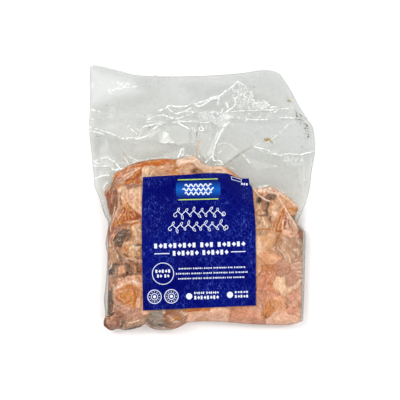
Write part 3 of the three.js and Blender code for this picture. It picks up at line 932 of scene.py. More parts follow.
class Shader:
    """A material whose nodes are added one call at a time."""

    def __init__(self, name):
        self.material = bpy.data.materials.new(name)
        self.material.use_nodes = True
        self.tree = self.material.node_tree
        self.principled = self.tree.nodes["Principled BSDF"]

    def put(self, socket, value):
        if isinstance(value, bpy.types.NodeSocket):
            self.tree.links.new(value, socket)
        elif socket.type == "RGBA":
            socket.default_value = (*value[:3], 1)
        else:
            socket.default_value = value

    def add(self, kind, inputs=None, **settings):
        node = self.tree.nodes.new(kind)
        for key, value in settings.items():
            setattr(node, key, value)
        for key, value in (inputs or {}).items():
            self.put(node.inputs[key], value)
        return node

    def math(self, operation, a, b=0.0, clamp=False):
        return self.add("ShaderNodeMath", {0: a, 1: b}, operation=operation, use_clamp=clamp).outputs[0]

    def mix(self, factor, a, b, blend="MIX"):
        """Mixes two sockets or colours; a colour is given as the eye sees it, 0 to 255."""
        a, b = (c if isinstance(c, bpy.types.NodeSocket) else tuple(linear(c)) for c in (a, b))
        node = self.add("ShaderNodeMix", {0: factor, 6: a, 7: b}, data_type="RGBA", blend_type=blend)
        return node.outputs[2]

    def place(self):
        return self.add("ShaderNodeTexCoord").outputs["Object"]

    def axes(self):
        return self.add("ShaderNodeSeparateXYZ", {0: self.place()}).outputs

    def stretched(self, scale, turn=(0, 0, 0)):
        mapping = self.add("ShaderNodeMapping", {"Vector": self.place()})
        mapping.inputs["Scale"].default_value = scale
        mapping.inputs["Rotation"].default_value = turn
        return mapping.outputs[0]

    def noise(self, scale, detail=3.0, vector=None, distortion=0.0):
        vector = vector or self.place()
        inputs = {"Scale": scale, "Detail": detail, "Distortion": distortion, "Vector": vector}
        return self.add("ShaderNodeTexNoise", inputs).outputs[0]

    def spread(self, value, low, high, to_low=0.0, to_high=1.0):
        inputs = {0: value, 1: low, 2: high, 3: to_low, 4: to_high}
        return self.add("ShaderNodeMapRange", inputs, clamp=True).outputs[0]

    def bump(self, height, strength, distance):
        inputs = {"Height": height, "Strength": strength, "Distance": distance}
        return self.add("ShaderNodeBump", inputs).outputs[0]

    def clouded(self, scale, detail, low, high, a, b):
        """One colour with soft clouds of another."""
        return self.mix(self.spread(self.noise(scale, detail), low, high), a, b)

    def finish(self, **inputs):
        for key, value in inputs.items():
            self.put(self.principled.inputs[key.replace("_", " ")], value)
        return self.material

    def printed(self, colour, glossiest, dullest, **inputs):
        """Ink on film, with a faint grain."""
        rough = self.spread(self.noise(300.0, 2.0), 0.3, 0.7, glossiest, dullest)
        grain = self.bump(self.noise(500.0, 3.0), 0.15, 0.0003)
        return self.finish(Base_Color=colour, Roughness=rough, Normal=grain, **inputs)


# Film

# Its colours: far from the fish and near it; the dark one is painted shade in creases and facets and also
# darkens the line along the rim; the white one is painted highlight, partly stress-whitening, on creases,
# facets and wrinkles.
FILM_COOL, FILM_WARM = (176, 180, 177), (181, 182, 170)
FILM_DARK, FILM_HIGHLIGHT = (114, 116, 106), (251, 252, 251)
# How far the painted highlights veil what lies below, and the dark lines (painted shade and the rim line) as
# a share of that.
CREASE_VEIL, DARK_VEIL = 0.85, 0.3

# Each film's columns, its rows on the heap and on the flap, and how far it lies inside the solid.
FRONT_GRID, BACK_GRID = (325, 95, 205), (150, 60, 90)
COLUMN_CROWDING = 0.25
FRONT_DEPTH, BACK_DEPTH = 0.35, 0.25
# The back film stays off the ground, and has part of the relief from some way up the flap.
BACK_FLOOR_GAP, BACK_RELIEF, BACK_RELIEF_BEGINS = 0.06, 0.6, 8
# How much of the whiteness and darkness (painted highlight and shade, and the rim line) each film shows, its
# haze on the fish and its haze beside it.
FRONT_LOOK, BACK_LOOK = (1.0, 0.03, 0.29), (0.45, 0.1, 0.2)

# Creases and facets, which carry painted highlight and shade. A wave of wobble is its size, its reach and
# two seeds.
CREASE_WOBBLE = (4, 0.6, 11, 21)
CREASE_STRENGTH, CREASE_VARIETY, CREASE_LIMITS = 0.85, 0.8, (0.25, 1.1)
CREASE_THINNESS, CREASE_HEIGHT, CREASE_FLANK = 0.85, 0.4, 1.6
CREASE_REACH, ROW_MARGIN = 4, 1
FACET_HIGHLIGHT, FACET_SHADE = 0.4, 0.2

# Patches of small crumples: middle, half sizes, strength.
CRUMPLED = [
    (12, 73, 17, 4, 1.0), (50, 74, 18, 2.5, 0.5), (37, 91, 10, 11, 1.0), (53, 84, 9, 4, 1.0),
    (81, 33, 9, 5, 0.7), (-22, 77, 10, 4, 0.4), (-74, 28, 6, 4, 0.6), (-32, 72, 10, 3, 0.4),
]
CRUMPLE_EDGE, CRUMPLE_CELL, CRUMPLE_STRETCH, CRUMPLE_SHARPNESS = (0.4, 1.6), 3.2, 1.5, 3.6
# How much painted highlight the wrinkles carry, and how high they stand.
CRUMPLE_HIGHLIGHT, CRUMPLE_HEIGHT = 0.8, 0.5
# Painted highlights: sparkles lie just past the rim of the heap, and glints on it. A row of patches is their
# size, seed and range of noise; a row of veins is their size, seed, layers and sharpness.
SPARKLES, SPARKLE_PLACE, SPARKLE_WIDTH, SPARKLE_HIGHLIGHT = (1.5, 45, 0.62, 0.85), 1.6, 2, 0.8
GLINTS, GLINT_PATCHES = (9, 47, 3, 34), (5, 49, 0.3, 0.7)
GLINT_STRETCH, GLINT_HIGHLIGHT, GLINTS_BEGIN = 1.3, 0.6, (1, 4)

# Low waves of the flap: size, seed, height. The film on the heap has a finer ripple.
FLAP_WAVES = [(26, 51, 0.5), (9, 61, 0.14)]
RIPPLE_CELL, RIPPLE_STRETCH, RIPPLE_HEIGHT = 6, 0.5, 0.22
# Where the film meets the edge of the fish, and how the painted highlights of its creases and facets fade in
# past it.
FISH_EDGE, CREASES_BEGIN = (-0.4, 1.2), (-0.6, 0.8)
# A darker line along the rim: its darkness and width; and how far in from the welded rim the film is kept
# flat.
RIM_LINE_DARKNESS, RIM_LINE_WIDTH, WELD_FLATNESS = 0.8, 0.8, 3

# Haze: more of it near the heap, and clouds of it. Warmth: most near the heap, least at the flap's end.
HAZE_NEAR_HEAP, HAZE_REACH, HAZE_CLOUDS, HAZE_GRAIN = 0.7, (-4, 12), 0.12, 0.08
WARMTH, WARMTH_NEAR_HEAP, WARMTH_REACH, WARMTH_CLOUDS = 0.3, 0.7, 28, 0.3
COOLING, COOLING_PLACE = 0.25, (80, 118)


def film_material(name):
    """Clear film: its stored colour gives whiteness (painted highlight), darkness (painted shade and the rim
    line), haze and warmth.
    """
    s = Shader(name)
    stored = s.add("ShaderNodeAttribute", attribute_name="film")
    parts = s.add("ShaderNodeSeparateColor", {0: stored.outputs["Color"]})
    # White is painted highlight; dark is painted shade and the rim line.
    white, dark = s.spread(parts.outputs[0], 0.5, 1), s.spread(parts.outputs[0], 0.5, 0)
    haze, warmth = parts.outputs[1], parts.outputs[2]
    tint = s.mix(dark, s.mix(warmth, FILM_COOL, FILM_WARM), FILM_DARK)
    mottled = s.math("MULTIPLY", haze, s.spread(s.noise(1400.0, 2.0), 0.3, 0.7, 0.93, 1.07))
    lines = s.math("ADD", white, s.math("MULTIPLY", dark, DARK_VEIL))
    alpha = s.math("ADD", mottled, s.math("MULTIPLY", lines, CREASE_VEIL), clamp=True)
    wrinkles = s.noise(260.0, 4.0, s.stretched((1, 1, 0.3)), 0.6)
    return s.finish(Base_Color=s.mix(white, tint, FILM_HIGHLIGHT), Alpha=alpha, IOR=1.49,
                    Roughness=s.spread(white, 0, 1, 0.16, 0.4), Normal=s.bump(wrinkles, 0.35, 0.0006))


def crease_fields(x, y):
    """(height, whiteness, darkness) of the creases and facets; whiteness is painted highlight and darkness
    painted shade.
    """
    wx, wy = wobbled(x, y, CREASE_WOBBLE)
    uneven = np.clip(CREASE_STRENGTH + CREASE_VARIETY * layered(x, y, 2.4, 31, 2), *CREASE_LIMITS)
    height, white, dark = np.zeros((3,) + np.shape(x))
    for amount, soft, points in table_rows(FACET_LIGHT_AND_SHADE):
        soft = float(soft)
        at = near(points, soft + ROW_MARGIN, x, y)
        share = float(amount) * (1 - smooth(outside(points, wx[at], wy[at]), -soft, soft))
        white[at] += np.maximum(share, 0) * FACET_HIGHLIGHT
        dark[at] += np.maximum(-share, 0) * FACET_SHADE
    for half, bright, points in table_rows(CREASES):
        half, bright = float(half), float(bright)
        at = near(points, CREASE_REACH * half + ROW_MARGIN, x, y)
        away = away_from(points, wx[at], wy[at])
        line = abs(bright) * np.exp(-(away / half / CREASE_THINNESS) ** 2) * uneven[at]
        height[at] += CREASE_HEIGHT * bright * np.exp(-(away / (half * CREASE_FLANK)) ** 2)
        white[at] = np.maximum(white[at], line * (bright > 0))
        dark[at] = np.maximum(dark[at] * (1 - line), line * (bright < 0))
    return height, white, dark


def crumple(x, y):
    """Small hard wrinkles in some patches, with painted highlights: the wrinkles' own, sparkles along the
    rim of the heap and glints on it.
    """
    amount = np.zeros(np.shape(x))
    for cx, cy, half_x, half_y, strength in CRUMPLED:
        off = ((x - cx) / half_x) ** 2 + ((y - cy) / half_y) ** 2
        amount = np.maximum(amount, strength * (1 - smooth(off, *CRUMPLE_EDGE)))
    folds = np.abs(layered(x * CRUMPLE_STRETCH, y, CRUMPLE_CELL, 41, 2)) * CRUMPLE_SHARPNESS
    wrinkles = np.clip(1 - folds, 0, 1) * amount
    beyond = y - heap_top(x)
    along_rim = np.exp(-((beyond - SPARKLE_PLACE) / SPARKLE_WIDTH) ** 2)
    sparkles = patches(x, y, *SPARKLES) * along_rim * SPARKLE_HIGHLIGHT
    glints = veins(x * GLINT_STRETCH, y, *GLINTS) * patches(x, y, *GLINT_PATCHES)
    glints *= GLINT_HIGHLIGHT * smooth(-beyond, *GLINTS_BEGIN)
    return np.maximum(wrinkles, np.maximum(sparkles, glints))


def film_fields(x, y):
    """(height, whiteness, darkness, share on the heap) of the film at each point; whiteness is painted
    highlight, darkness painted shade and the rim line.
    """
    sides = np.minimum(x - np.maximum(fish_left(y), bag_left(y)), fish_right(y) - x)
    above = y - fish_top(x)
    on_heap = smooth(np.minimum(sides, -above), *FISH_EDGE)
    free = 1 - pressed_share(x, y)
    height, white, dark = crease_fields(x, y)
    white *= smooth(above, *CREASES_BEGIN)
    small = crumple(x, y)
    waves = sum(layered(x, y, cell, seed) * high for cell, seed, high in FLAP_WAVES)
    ripple = layered(x, y * RIPPLE_STRETCH, RIPPLE_CELL, 71) * RIPPLE_HEIGHT
    rise = height + waves * (1 - on_heap) + small * CRUMPLE_HEIGHT + ripple * on_heap
    rim = np.minimum.reduce([x - bag_left(y), bag_right(y) - x, bag_top(x) - y, y - bag_bottom(x)])
    rim_line = RIM_LINE_DARKNESS * np.exp(-(rim / RIM_LINE_WIDTH) ** 2)
    white = np.clip(np.maximum(white, small * CRUMPLE_HIGHLIGHT), 0, 1) * free * (1 - rim_line)
    dark = np.clip(np.maximum(dark, rim_line), 0, 1)
    return rise * free * smooth(rim, 0, WELD_FLATNESS), white, dark, on_heap


def film_colours(x, y, white, dark, on_heap, fish_haze, free_haze):
    """What film_material reads: whiteness (painted highlight) above and darkness (painted shade and the rim
    line) below a half, haze, warmth.
    """
    beyond = y - heap_top(x)
    free_haze = free_haze * (1 + HAZE_NEAR_HEAP * smooth(-beyond, *HAZE_REACH))
    clouds = 1 + HAZE_CLOUDS * layered(x, y, 30, 91) + HAZE_GRAIN * noise(x, y, 1.5, 97)
    haze = np.clip(lerp(free_haze, fish_haze, on_heap) * clouds, 0, 1)
    warmth = WARMTH + WARMTH_NEAR_HEAP * np.exp(-(beyond / WARMTH_REACH) ** 2)
    warmth += WARMTH_CLOUDS * layered(x, y, 40, 95) - COOLING * smooth(y, *COOLING_PLACE)
    return np.column_stack([0.5 + 0.5 * (white - dark * (1 - white)), haze, np.clip(warmth, 0, 1)])


def make_film(name, grid, surface, look, flipped):
    columns, heap_rows, flap_rows = grid
    crease_share, fish_haze, free_haze = look
    rows = heap_rows + flap_rows
    across, along = shares(columns, rows, COLUMN_CROWDING)

    def y_at(x, along):
        heap = lerp(bag_bottom(x), heap_top(x), along * rows / heap_rows)
        flap = lerp(heap_top(x), bag_top(x), (along * rows - heap_rows) / flap_rows)
        return np.where(along * rows < heap_rows, heap, flap)

    x, y = patch(across, along, bag_left, bag_right, y_at)
    rise, white, dark, on_heap = film_fields(x, y)
    points = np.column_stack([x, y, surface(x, y, rise)])
    film = make_mesh(name, points, grid_quads(columns, rows, 0, flipped), film_material(name + "_film"))
    white, dark = white * crease_share, dark * crease_share
    paint(film, "film", film_colours(x, y, white, dark, on_heap, fish_haze, free_haze))


def front_surface(x, y, rise):
    return upper_side(x, y) - FRONT_DEPTH + rise


def back_surface(x, y, rise):
    relief = rise * BACK_RELIEF * smooth(y - heap_top(x), 0, BACK_RELIEF_BEGINS)
    return np.maximum(under_side(x, y) + BACK_DEPTH + relief, BACK_FLOOR_GAP)


# Fish

# Where the sheets' columns and rows crowd: shares of the grid against shares of the size.
# Most lie beside the label, where the fish shows.
COLUMN_SHARES, WIDTH_SHARES = (0, 0.39, 0.55, 1), (0, 0.215, 0.745, 1)
ROW_SHARES, LENGTH_SHARES = (0, 0.2, 0.82, 1), (0, 0.15, 0.89, 1)
FISH_COLUMNS, FISH_ROWS = 300, 300
# The under side is spaced evenly but for its ends, where it meets the upper side.
UNEVEN_END = 0.06
# How far the fish stays inside the bag's outline and off the films, how much lower it lies
# than that, and the least thickness of the heap before its rim is closed.
FISH_MARGIN, FISH_CLEARANCE, FISH_LOWERING, THINNEST = 0.15, 0.4, 0.7, 0.3

# Chunks: where their middles lie, their half sizes, how far off their flakes' middle lies,
# the width of a flake and the strength of its seam.
CHUNK_AREA, CHUNK_HALVES, CHUNK_FOCUS = ((-92, -122), (96, 40)), ((10, 6), (20, 11)), 30
FLAKE_WIDTHS, SEAM_STRENGTHS, SEAM_WIDTH = (2.2, 4.6), (0.4, 1), 0.5
BORDER_WIDTH, FAT_WIDTH = 0.05, 0.14
FLAKE_RISE, BORDER_DEPTH = 0.3, 0.9
# Waves that bend chunks and flakes: size and reach.
BROAD_WAVE, SMALL_WAVE = (12, 5), (2.4, 0.7)
# How bright flakes are, how much that varies, and how far apart noise is read for it.
FLAKE_SHADE, SHADE_VARIETY, SHADE_STEPS = 1.08, 0.16, (1.7, 1.3)
# How strongly seams, fat, orange patches and the painted shade along borders cover.
SEAM_COVER, FAT_COVER, GLOW_COVER, BORDER_SHADE_COVER = 0.9, 0.35, 0.5, 0.55

# Rows of the table: how strongly lines cover, how soft lines and areas are, how uneven both are.
LINE_STRENGTH, LINE_SOFTNESS, AREA_SOFTNESS = 0.85, (0.2, 0.34), 0.6
LINE_UNEVENNESS, LINE_WOBBLE, TABLE_WOBBLE = 0.3, 0.5, (4, 1.3, 121, 131)
AREA_RISE, AREA_RISE_BEGINS, REACH_MARGIN = 0.35, (-0.3, 2), 2.5

# How much mottle and fibres change red, green and blue, and the heights of the fine relief.
MOTTLE, FIBRE = (0.16, 0.24, 0.3), (0.16, 0.22, 0.26)
GRAIN_HEIGHT, FIBRE_HEIGHT, CRUNCH_HEIGHT, CRACK_DEPTH = 0.14, 0.12, 0.12, 0.5
FIBRE_STRETCH, FIBRE_BEND, FIBRE_TURN = 0.4, 1.4, 0.5
# How strong cracks, veins and stains are where no area of the table lies, and how much fine
# grain changes the tone.
HIDDEN_GRAIN, CRUNCH = 0.35, 0.3

# Patterns of the flesh, as rows of veins and patches, and how strongly each covers.
CRACKS, CRACK_PATCHES, CRACK_COVER = (12, 151, 4, 45), (7, 155, 0, 0.5), 0.55
FAT_VEINS, FAT_PATCHES, VEIN_COVER = (7, 157, 4, 30), (6, 159, -0.2, 0.4), 0.4
# The flecks are painted wet highlights of the film on the fish.
WET_HIGHLIGHTS, WET_HIGHLIGHT_COVER, STAINS_BEGIN, STAIN_COVER = (1.3, 161, 0.6, 0.85), 0.45, (0.42, 0.75), 0.35

# What the light and the film do to every tone is taken off it first. The eye's weights say how
# much red, green and blue count as brightness.
FLESH_GAIN, FLESH_CONTRAST, FLESH_VEIL = (0.92, 0.87, 0.84), 0.25, (0.02, 0.02, 0.028)
EYE_WEIGHTS = (0.3, 0.6, 0.1)


def flesh_material():
    """Smoked fish: the stored tone, with fine fibres and grain of its own."""
    s = Shader("smoked_flesh")
    stored = s.add("ShaderNodeAttribute", attribute_name="flesh").outputs["Color"]
    fibre = s.noise(900.0, 4.0, s.stretched((1, 0.45, 1), (0, 0, 0.5)), 0.8)
    grain = s.noise(2200.0, 3.0)
    shade = s.mix(s.spread(fibre, 0.35, 0.65), (238, 232, 230), (266, 266, 266))
    height = s.math("ADD", fibre, s.math("MULTIPLY", grain, 0.4))
    return s.finish(Base_Color=s.mix(1.0, stored, shade, "MULTIPLY"), Specular_IOR_Level=0.25,
                    Roughness=s.spread(grain, 0.3, 0.7, 0.34, 0.55), Normal=s.bump(height, 0.5, 0.0004),
                    Subsurface_Weight=0.06, Subsurface_Radius=(0.9, 0.35, 0.2), Subsurface_Scale=0.002)


def dyed(colours, tone, share):
    """Colours with a tone laid over them by share."""
    return lerp(colours, linear(TONES[tone]), share[:, None])


def chunks(x, y, seed):
    """(colours, relief) of chunks with curved flakes, laid at random, with painted shade in the crevices
    along their borders.
    """
    pick = np.random.default_rng(seed)
    waves = (*BROAD_WAVE, seed + 1, seed + 3), (*SMALL_WAVE, seed + 2, seed + 4)
    wx, wy = wobbled(x, y, *waves)
    middle = pick.uniform(*CHUNK_AREA, (CHUNKS, 2))
    half = pick.uniform(*CHUNK_HALVES, (CHUNKS, 2))
    turn = pick.uniform(0, 180, CHUNKS)
    focus = middle + pick.uniform(-CHUNK_FOCUS, CHUNK_FOCUS, (CHUNKS, 2))
    width, seam = pick.uniform(*FLAKE_WIDTHS, CHUNKS), pick.uniform(*SEAM_STRENGTHS, CHUNKS)
    tones = np.array([linear(TONES[HIDDEN_TONES[k % len(HIDDEN_TONES)]]) for k in range(CHUNKS)])
    best, second, owner = np.full(len(x), np.inf), np.full(len(x), np.inf), np.zeros(len(x), int)
    for k in range(CHUNKS):
        away = np.hypot(*turned(wx, wy, *middle[k], *half[k], turn[k]))
        second = np.minimum(second, np.maximum(best, away))
        owner = np.where(away < best, k, owner)
        best = np.minimum(best, away)
    width = width[owner]
    flake = np.hypot(*(np.array([wx, wy]) - focus[owner].T)) / width
    part = flake - np.floor(flake)
    shade = noise(np.floor(flake) * SHADE_STEPS[0], owner * SHADE_STEPS[1], 1, seed + 5)
    shade = FLAKE_SHADE + SHADE_VARIETY * shade
    line = np.exp(-np.minimum(part, 1 - part) * width / SEAM_WIDTH) * seam[owner]
    line *= patches(x, y, 5, seed + 6, -0.5, 0.3)
    seams = np.where((owner % 3 == 0)[:, None], linear(TONES["ember"]), linear(TONES["pearl"]))
    colours = lerp(tones[owner] * shade[:, None], seams, (line * SEAM_COVER)[:, None])
    gap = second - best
    border = np.exp(-gap / BORDER_WIDTH) * patches(x, y, 9, seed + 7, -0.5, 0.5)
    fat = np.exp(-gap / FAT_WIDTH) * patches(x, y, 14, seed + 8, 0, 0.5)
    glow = smooth(layered(x, y, 13, seed + 9), 0, 0.7)
    colours = dyed(colours, "ash", fat * FAT_COVER)
    colours = dyed(colours, "orange", glow * GLOW_COVER)
    # Painted shade, brownish, in the crevices along the borders between chunks.
    colours = dyed(colours, "brown", border * BORDER_SHADE_COVER)
    return colours, FLAKE_RISE * np.sin(np.pi * part) ** 0.5 - BORDER_DEPTH * border


def flesh(x, y, seed, table=""):
    """(colours, relief) of the fish at each point: random chunks, then the rows of a table over them."""
    colours, relief = chunks(x, y, seed)
    busy = np.full(len(x), HIDDEN_GRAIN)
    ragged_x, ragged_y = wobbled(x, y, TABLE_WOBBLE)
    for tone, half, points in table_rows(table):
        half = float(half)
        soft = LINE_SOFTNESS[0] + LINE_SOFTNESS[1] * half if half else AREA_SOFTNESS
        at = near(points, half + REACH_MARGIN, x, y)
        if half:
            wx, wy = lerp(x[at], ragged_x[at], LINE_WOBBLE), lerp(y[at], ragged_y[at], LINE_WOBBLE)
            uneven = 1 + LINE_UNEVENNESS * noise(x[at], y[at], 3, 135)
            away = away_from(points, wx, wy) - half * uneven
        else:
            away = outside(points, ragged_x[at], ragged_y[at])
        share = (LINE_STRENGTH if half else 1) * (1 - smooth(away, -soft, soft))
        colours[at] = dyed(colours[at], tone, share)
        if not half:
            busy[at] = np.maximum(busy[at], share)
            relief[at] = lerp(relief[at], AREA_RISE * smooth(-away, *AREA_RISE_BEGINS), share)
        relief[at] += LINE_RISE.get(tone, 0) * share
    colours *= 1 + layered(x, y, 6, 141, 4)[:, None] * MOTTLE
    bend = FIBRE_BEND * noise(x, y, 28, 145) + FIBRE_TURN
    along, over = x * np.cos(bend) + y * np.sin(bend), y * np.cos(bend) - x * np.sin(bend)
    fibre = layered(along * FIBRE_STRETCH, over, 1.5, 147, 2)
    colours *= 1 + fibre[:, None] * FIBRE
    cracks = busy * veins(x, y, *CRACKS) * patches(x, y, *CRACK_PATCHES)
    fat = busy * veins(x, y, *FAT_VEINS) * patches(x, y, *FAT_PATCHES)
    stains = busy * smooth(layered(x, y, 2.4, 171, 2), *STAINS_BEGIN)
    colours = dyed(colours, "brown", cracks * CRACK_COVER)
    colours = dyed(colours, "pearl", fat * VEIN_COVER)
    # Painted wet highlights.
    colours = dyed(colours, "pearl", patches(x, y, *WET_HIGHLIGHTS) * WET_HIGHLIGHT_COVER)
    colours = dyed(colours, "rust", stains * STAIN_COVER)
    crunch = busy * layered(x, y, 1.5, 175, 2)
    colours *= (1 + CRUNCH * crunch)[:, None]
    relief += GRAIN_HEIGHT * layered(x, y, 1.8, 191, 2) + FIBRE_HEIGHT * fibre
    relief += CRUNCH_HEIGHT * crunch - CRACK_DEPTH * cracks
    brightness = np.clip(colours @ EYE_WEIGHTS, 0.01, 1)[:, None]
    return np.clip(colours * brightness ** FLESH_CONTRAST * FLESH_GAIN - FLESH_VEIL, 0.004, 1), relief


def make_fish():
    """The upper and the under side of the heap; they share the points of their rim."""
    across, along = shares(FISH_COLUMNS, FISH_ROWS)
    inner = smooth(np.minimum(along, 1 - along), 0, UNEVEN_END)
    crowded = np.interp(across, COLUMN_SHARES, WIDTH_SHARES)
    length = np.interp(along, ROW_SHARES, LENGTH_SHARES)
    rim = grid_rim(FISH_COLUMNS, FISH_ROWS)
    sheets = ("fish_upper", 1, crowded, 5, FISH), ("fish_under", -1, lerp(crowded, across, inner), 9, "")
    for name, side, width, seed, table in sheets:
        x, y = patch(width, length, lambda y: np.maximum(bag_left(y) + FISH_MARGIN, fish_left(y)),
                     fish_right, lambda x, t: lerp(bag_bottom(x) + FISH_MARGIN, fish_top(x), t))
        colours, relief = flesh(x, y, seed, table)
        top = upper_side(x, y) - FRONT_DEPTH - FISH_CLEARANCE
        bottom = under_side(x, y) + BACK_DEPTH + FISH_CLEARANCE
        middle, half = (top + bottom) / 2, np.maximum(top - bottom, THINNEST) / 2
        half -= np.clip(FISH_LOWERING - relief, 0, half) * smooth(half, 0, 2)
        half[rim] = 0
        fish = make_mesh(name, np.column_stack([x, y, middle + side * half]),
                         grid_quads(FISH_COLUMNS, FISH_ROWS, 0, side < 0), flesh_material())
        paint(fish, "flesh", colours)


# Label

LABEL_COLUMNS, LABEL_ROWS = 130, 160
LABEL_THICKNESS, LABEL_LIFT, INK_LIFT = 0.22, 0.1, 0.08
# The label bridges hollows of the bag about this wide, by this share of their depth.
LABEL_SPAN, LABEL_BRIDGING = 2.0, 0.5
LABEL_MIDDLE, LABEL_TURN = (-2.4, -39.6), 1.5
INK_DARK, INK_LIGHT, SCALE_INK, STREAK_INK = (0, 1, 88), (0, 9, 104), (52, 74, 178), (70, 94, 188)
# The faint scales: how far apart in metres, and their radius and line as shares of that.
SCALE_PATTERN, SCALE_RADIUS, SCALE_LINE = 0.0095, 0.47, 0.035


def label_surface(x, y):
    """Height of the label's upper side."""
    steps = ((-LABEL_SPAN, 0), (LABEL_SPAN, 0), (0, -LABEL_SPAN), (0, LABEL_SPAN))
    beside = sum(upper_side(x + dx, y + dy) for dx, dy in steps) / len(steps)
    bag = upper_side(x, y)
    return bag + np.abs(beside - bag) * LABEL_BRIDGING + LABEL_LIFT + LABEL_THICKNESS


def label_material():
    """Dark blue satin print: faint rows of scales, fine light streaks and a few lighter blooms."""
    s = Shader("label_ink")
    axes = s.axes()
    column = s.math("DIVIDE", axes[0], SCALE_PATTERN)
    row = s.math("DIVIDE", axes[1], SCALE_PATTERN / 2)
    odd = s.math("MULTIPLY", s.math("FLOORED_MODULO", s.math("FLOOR", row), 2.0), 0.5)
    cell_x = s.math("SUBTRACT", s.math("FRACT", s.math("ADD", column, odd)), 0.5)
    cell_y = s.math("MULTIPLY", s.math("FRACT", row), 0.5)
    radius = s.math("SQRT", s.math("ADD", s.math("POWER", cell_x, 2.0), s.math("POWER", cell_y, 2.0)))
    off_line = s.math("ABSOLUTE", s.math("SUBTRACT", radius, SCALE_RADIUS))
    line = s.spread(off_line, 0.0, SCALE_LINE, 1.0, 0.0)
    fade = s.spread(s.noise(22.0, 2.0), 0.35, 0.7, 0.05, 0.4)
    ink = s.clouded(30.0, 3.0, 0.3, 0.7, INK_DARK, INK_LIGHT)
    ink = s.mix(s.math("MULTIPLY", line, fade), ink, SCALE_INK)
    light_streaks = s.spread(s.noise(900.0, 3.0, s.stretched((1, 0.4, 1), (0, 0, 0.8)), 1.2), 0.56, 0.68, 0, 0.8)
    light_streaks = s.math("MULTIPLY", light_streaks, s.spread(s.noise(45.0, 2.0), 0.4, 0.62, 0.06, 1))
    return s.printed(s.mix(light_streaks, ink, STREAK_INK), 0.3, 0.42, Specular_IOR_Level=0.05)


def make_label():
    across, along = shares(LABEL_COLUMNS, LABEL_ROWS)
    x, y = patch(across, along, label_left, label_right, lambda x, t: lerp(label_bottom(x), label_top(x), t))
    z = label_surface(x, y)
    count = len(x)
    points = np.concatenate([np.column_stack([x, y, z - depth]) for depth in (0, LABEL_THICKNESS)])
    rim = grid_rim(LABEL_COLUMNS, LABEL_ROWS)
    after = np.roll(rim, -1)
    walls = np.column_stack([rim, rim + count, after + count, after])
    sheets = [grid_quads(LABEL_COLUMNS, LABEL_ROWS, first, first > 0) for first in (0, count)]
    make_mesh("label_sheet", points, np.concatenate([*sheets, walls]), label_material(), "label")


# Print, placed from the label's middle and turned with it

# The blue plate: middle, width, height, how round its ends are, grid, and its inks.
PLATE_X, PLATE_Y, PLATE_WIDTH, PLATE_HEIGHT, PLATE_CORNER = 0.4, 47.2, 40, 15, 3.2
PLATE_GRID = (64, 24)
PLATE_MIDDLE_INK, PLATE_EDGE_INK = (4, 88, 178), (0, 22, 106)
# Green lines above and below it: how far off, how much shorter, how thick.
GREEN_GAP, GREEN_INSET, GREEN_STROKE = 1.5, 2, 0.9
# Waves on it: how far apart, how much shorter than the plate, how much more the middle one has,
# height, length and half width.
WAVE_PITCH, WAVE_INSET, WAVE_EXTRA, WAVE_HEIGHT, WAVE_LENGTH, WAVE_HALF = 3.6, 16, 4, 1.1, 4.4, 0.55

# Vines: left end, middle, length, leaves.
VINES = [(-20.5, 26.4, 43, 12), (-25.5, 14.2, 50, 14)]
# Rows of marks: left end, middle, width, height, marks in each group.
BOLD_ROWS = [
    (-40.5, -2.8, 82, 4.3, (9, 3, 6)), (-24, -9.8, 50, 4.3, (6, 6)), (-40, -25.6, 13.6, 2.9, (5,)),
    (-38.6, -29.9, 11, 2.9, (2, 2)), (-5.6, -46, 22, 2.0, (5, 6)), (-5.6, -50.2, 22, 3.2, (8,)),
    (31, -46.2, 12, 1.8, (5,)), (31, -50, 12, 2.4, (5,)),
]
FINE_GROUPS = (8, 6, 5, 8, 3, 7)
FINE_ROWS = [(-19, -23.8, 60, 1.4), (-21.5, -28.3, 64.5, 1.4), (-19.5, -32.8, 59.5, 1.4)]
# Rules beside the second row: left end, middle, width, height. Dots at the foot: middle, radius.
RULES = [(-40.5, -9.8, 13.5, 0.8), (28.5, -9.8, 13, 0.8)]
DOTS = [(-10.2, -48.8, 2.8), (26.5, -48.4, 2.8)]
# The ring round two short rows: middle, radius, stroke.
RING = (-33.2, -27.8, 9.6, 0.6)
# Round marks at the foot: their middles, rings as radius and stroke, their heart and their beads.
ROUND_MARKS = [(-41.4, -48.4), (-26.2, -48.4)]
MARK_RINGS, MARK_HEART = [(6.1, 0.7), (2.9, 0.6)], 1.4
BEADS, BEAD_ORBIT, BEAD_RADIUS = 12, 4.5, 0.45
# The empty tag on the bent corner and the three bars below it, placed in the plan.
TAG_CORNERS, TAG_HALF = [(26.5, 19.2), (35.8, 16.6), (35.4, 14.2), (26.9, 16.6), (26.5, 19.2)], 0.22
TAG_BARS, TAG_BAR_SIZE = [(35.4, 12.56), (37.6, 12.34), (39.8, 12.12)], (1.5, 1.9)

PALE_INKS, GREEN_INKS = ((226, 231, 244), (206, 213, 236)), ((150, 190, 58), (186, 208, 70))
WORN_INK = (60, 76, 160)


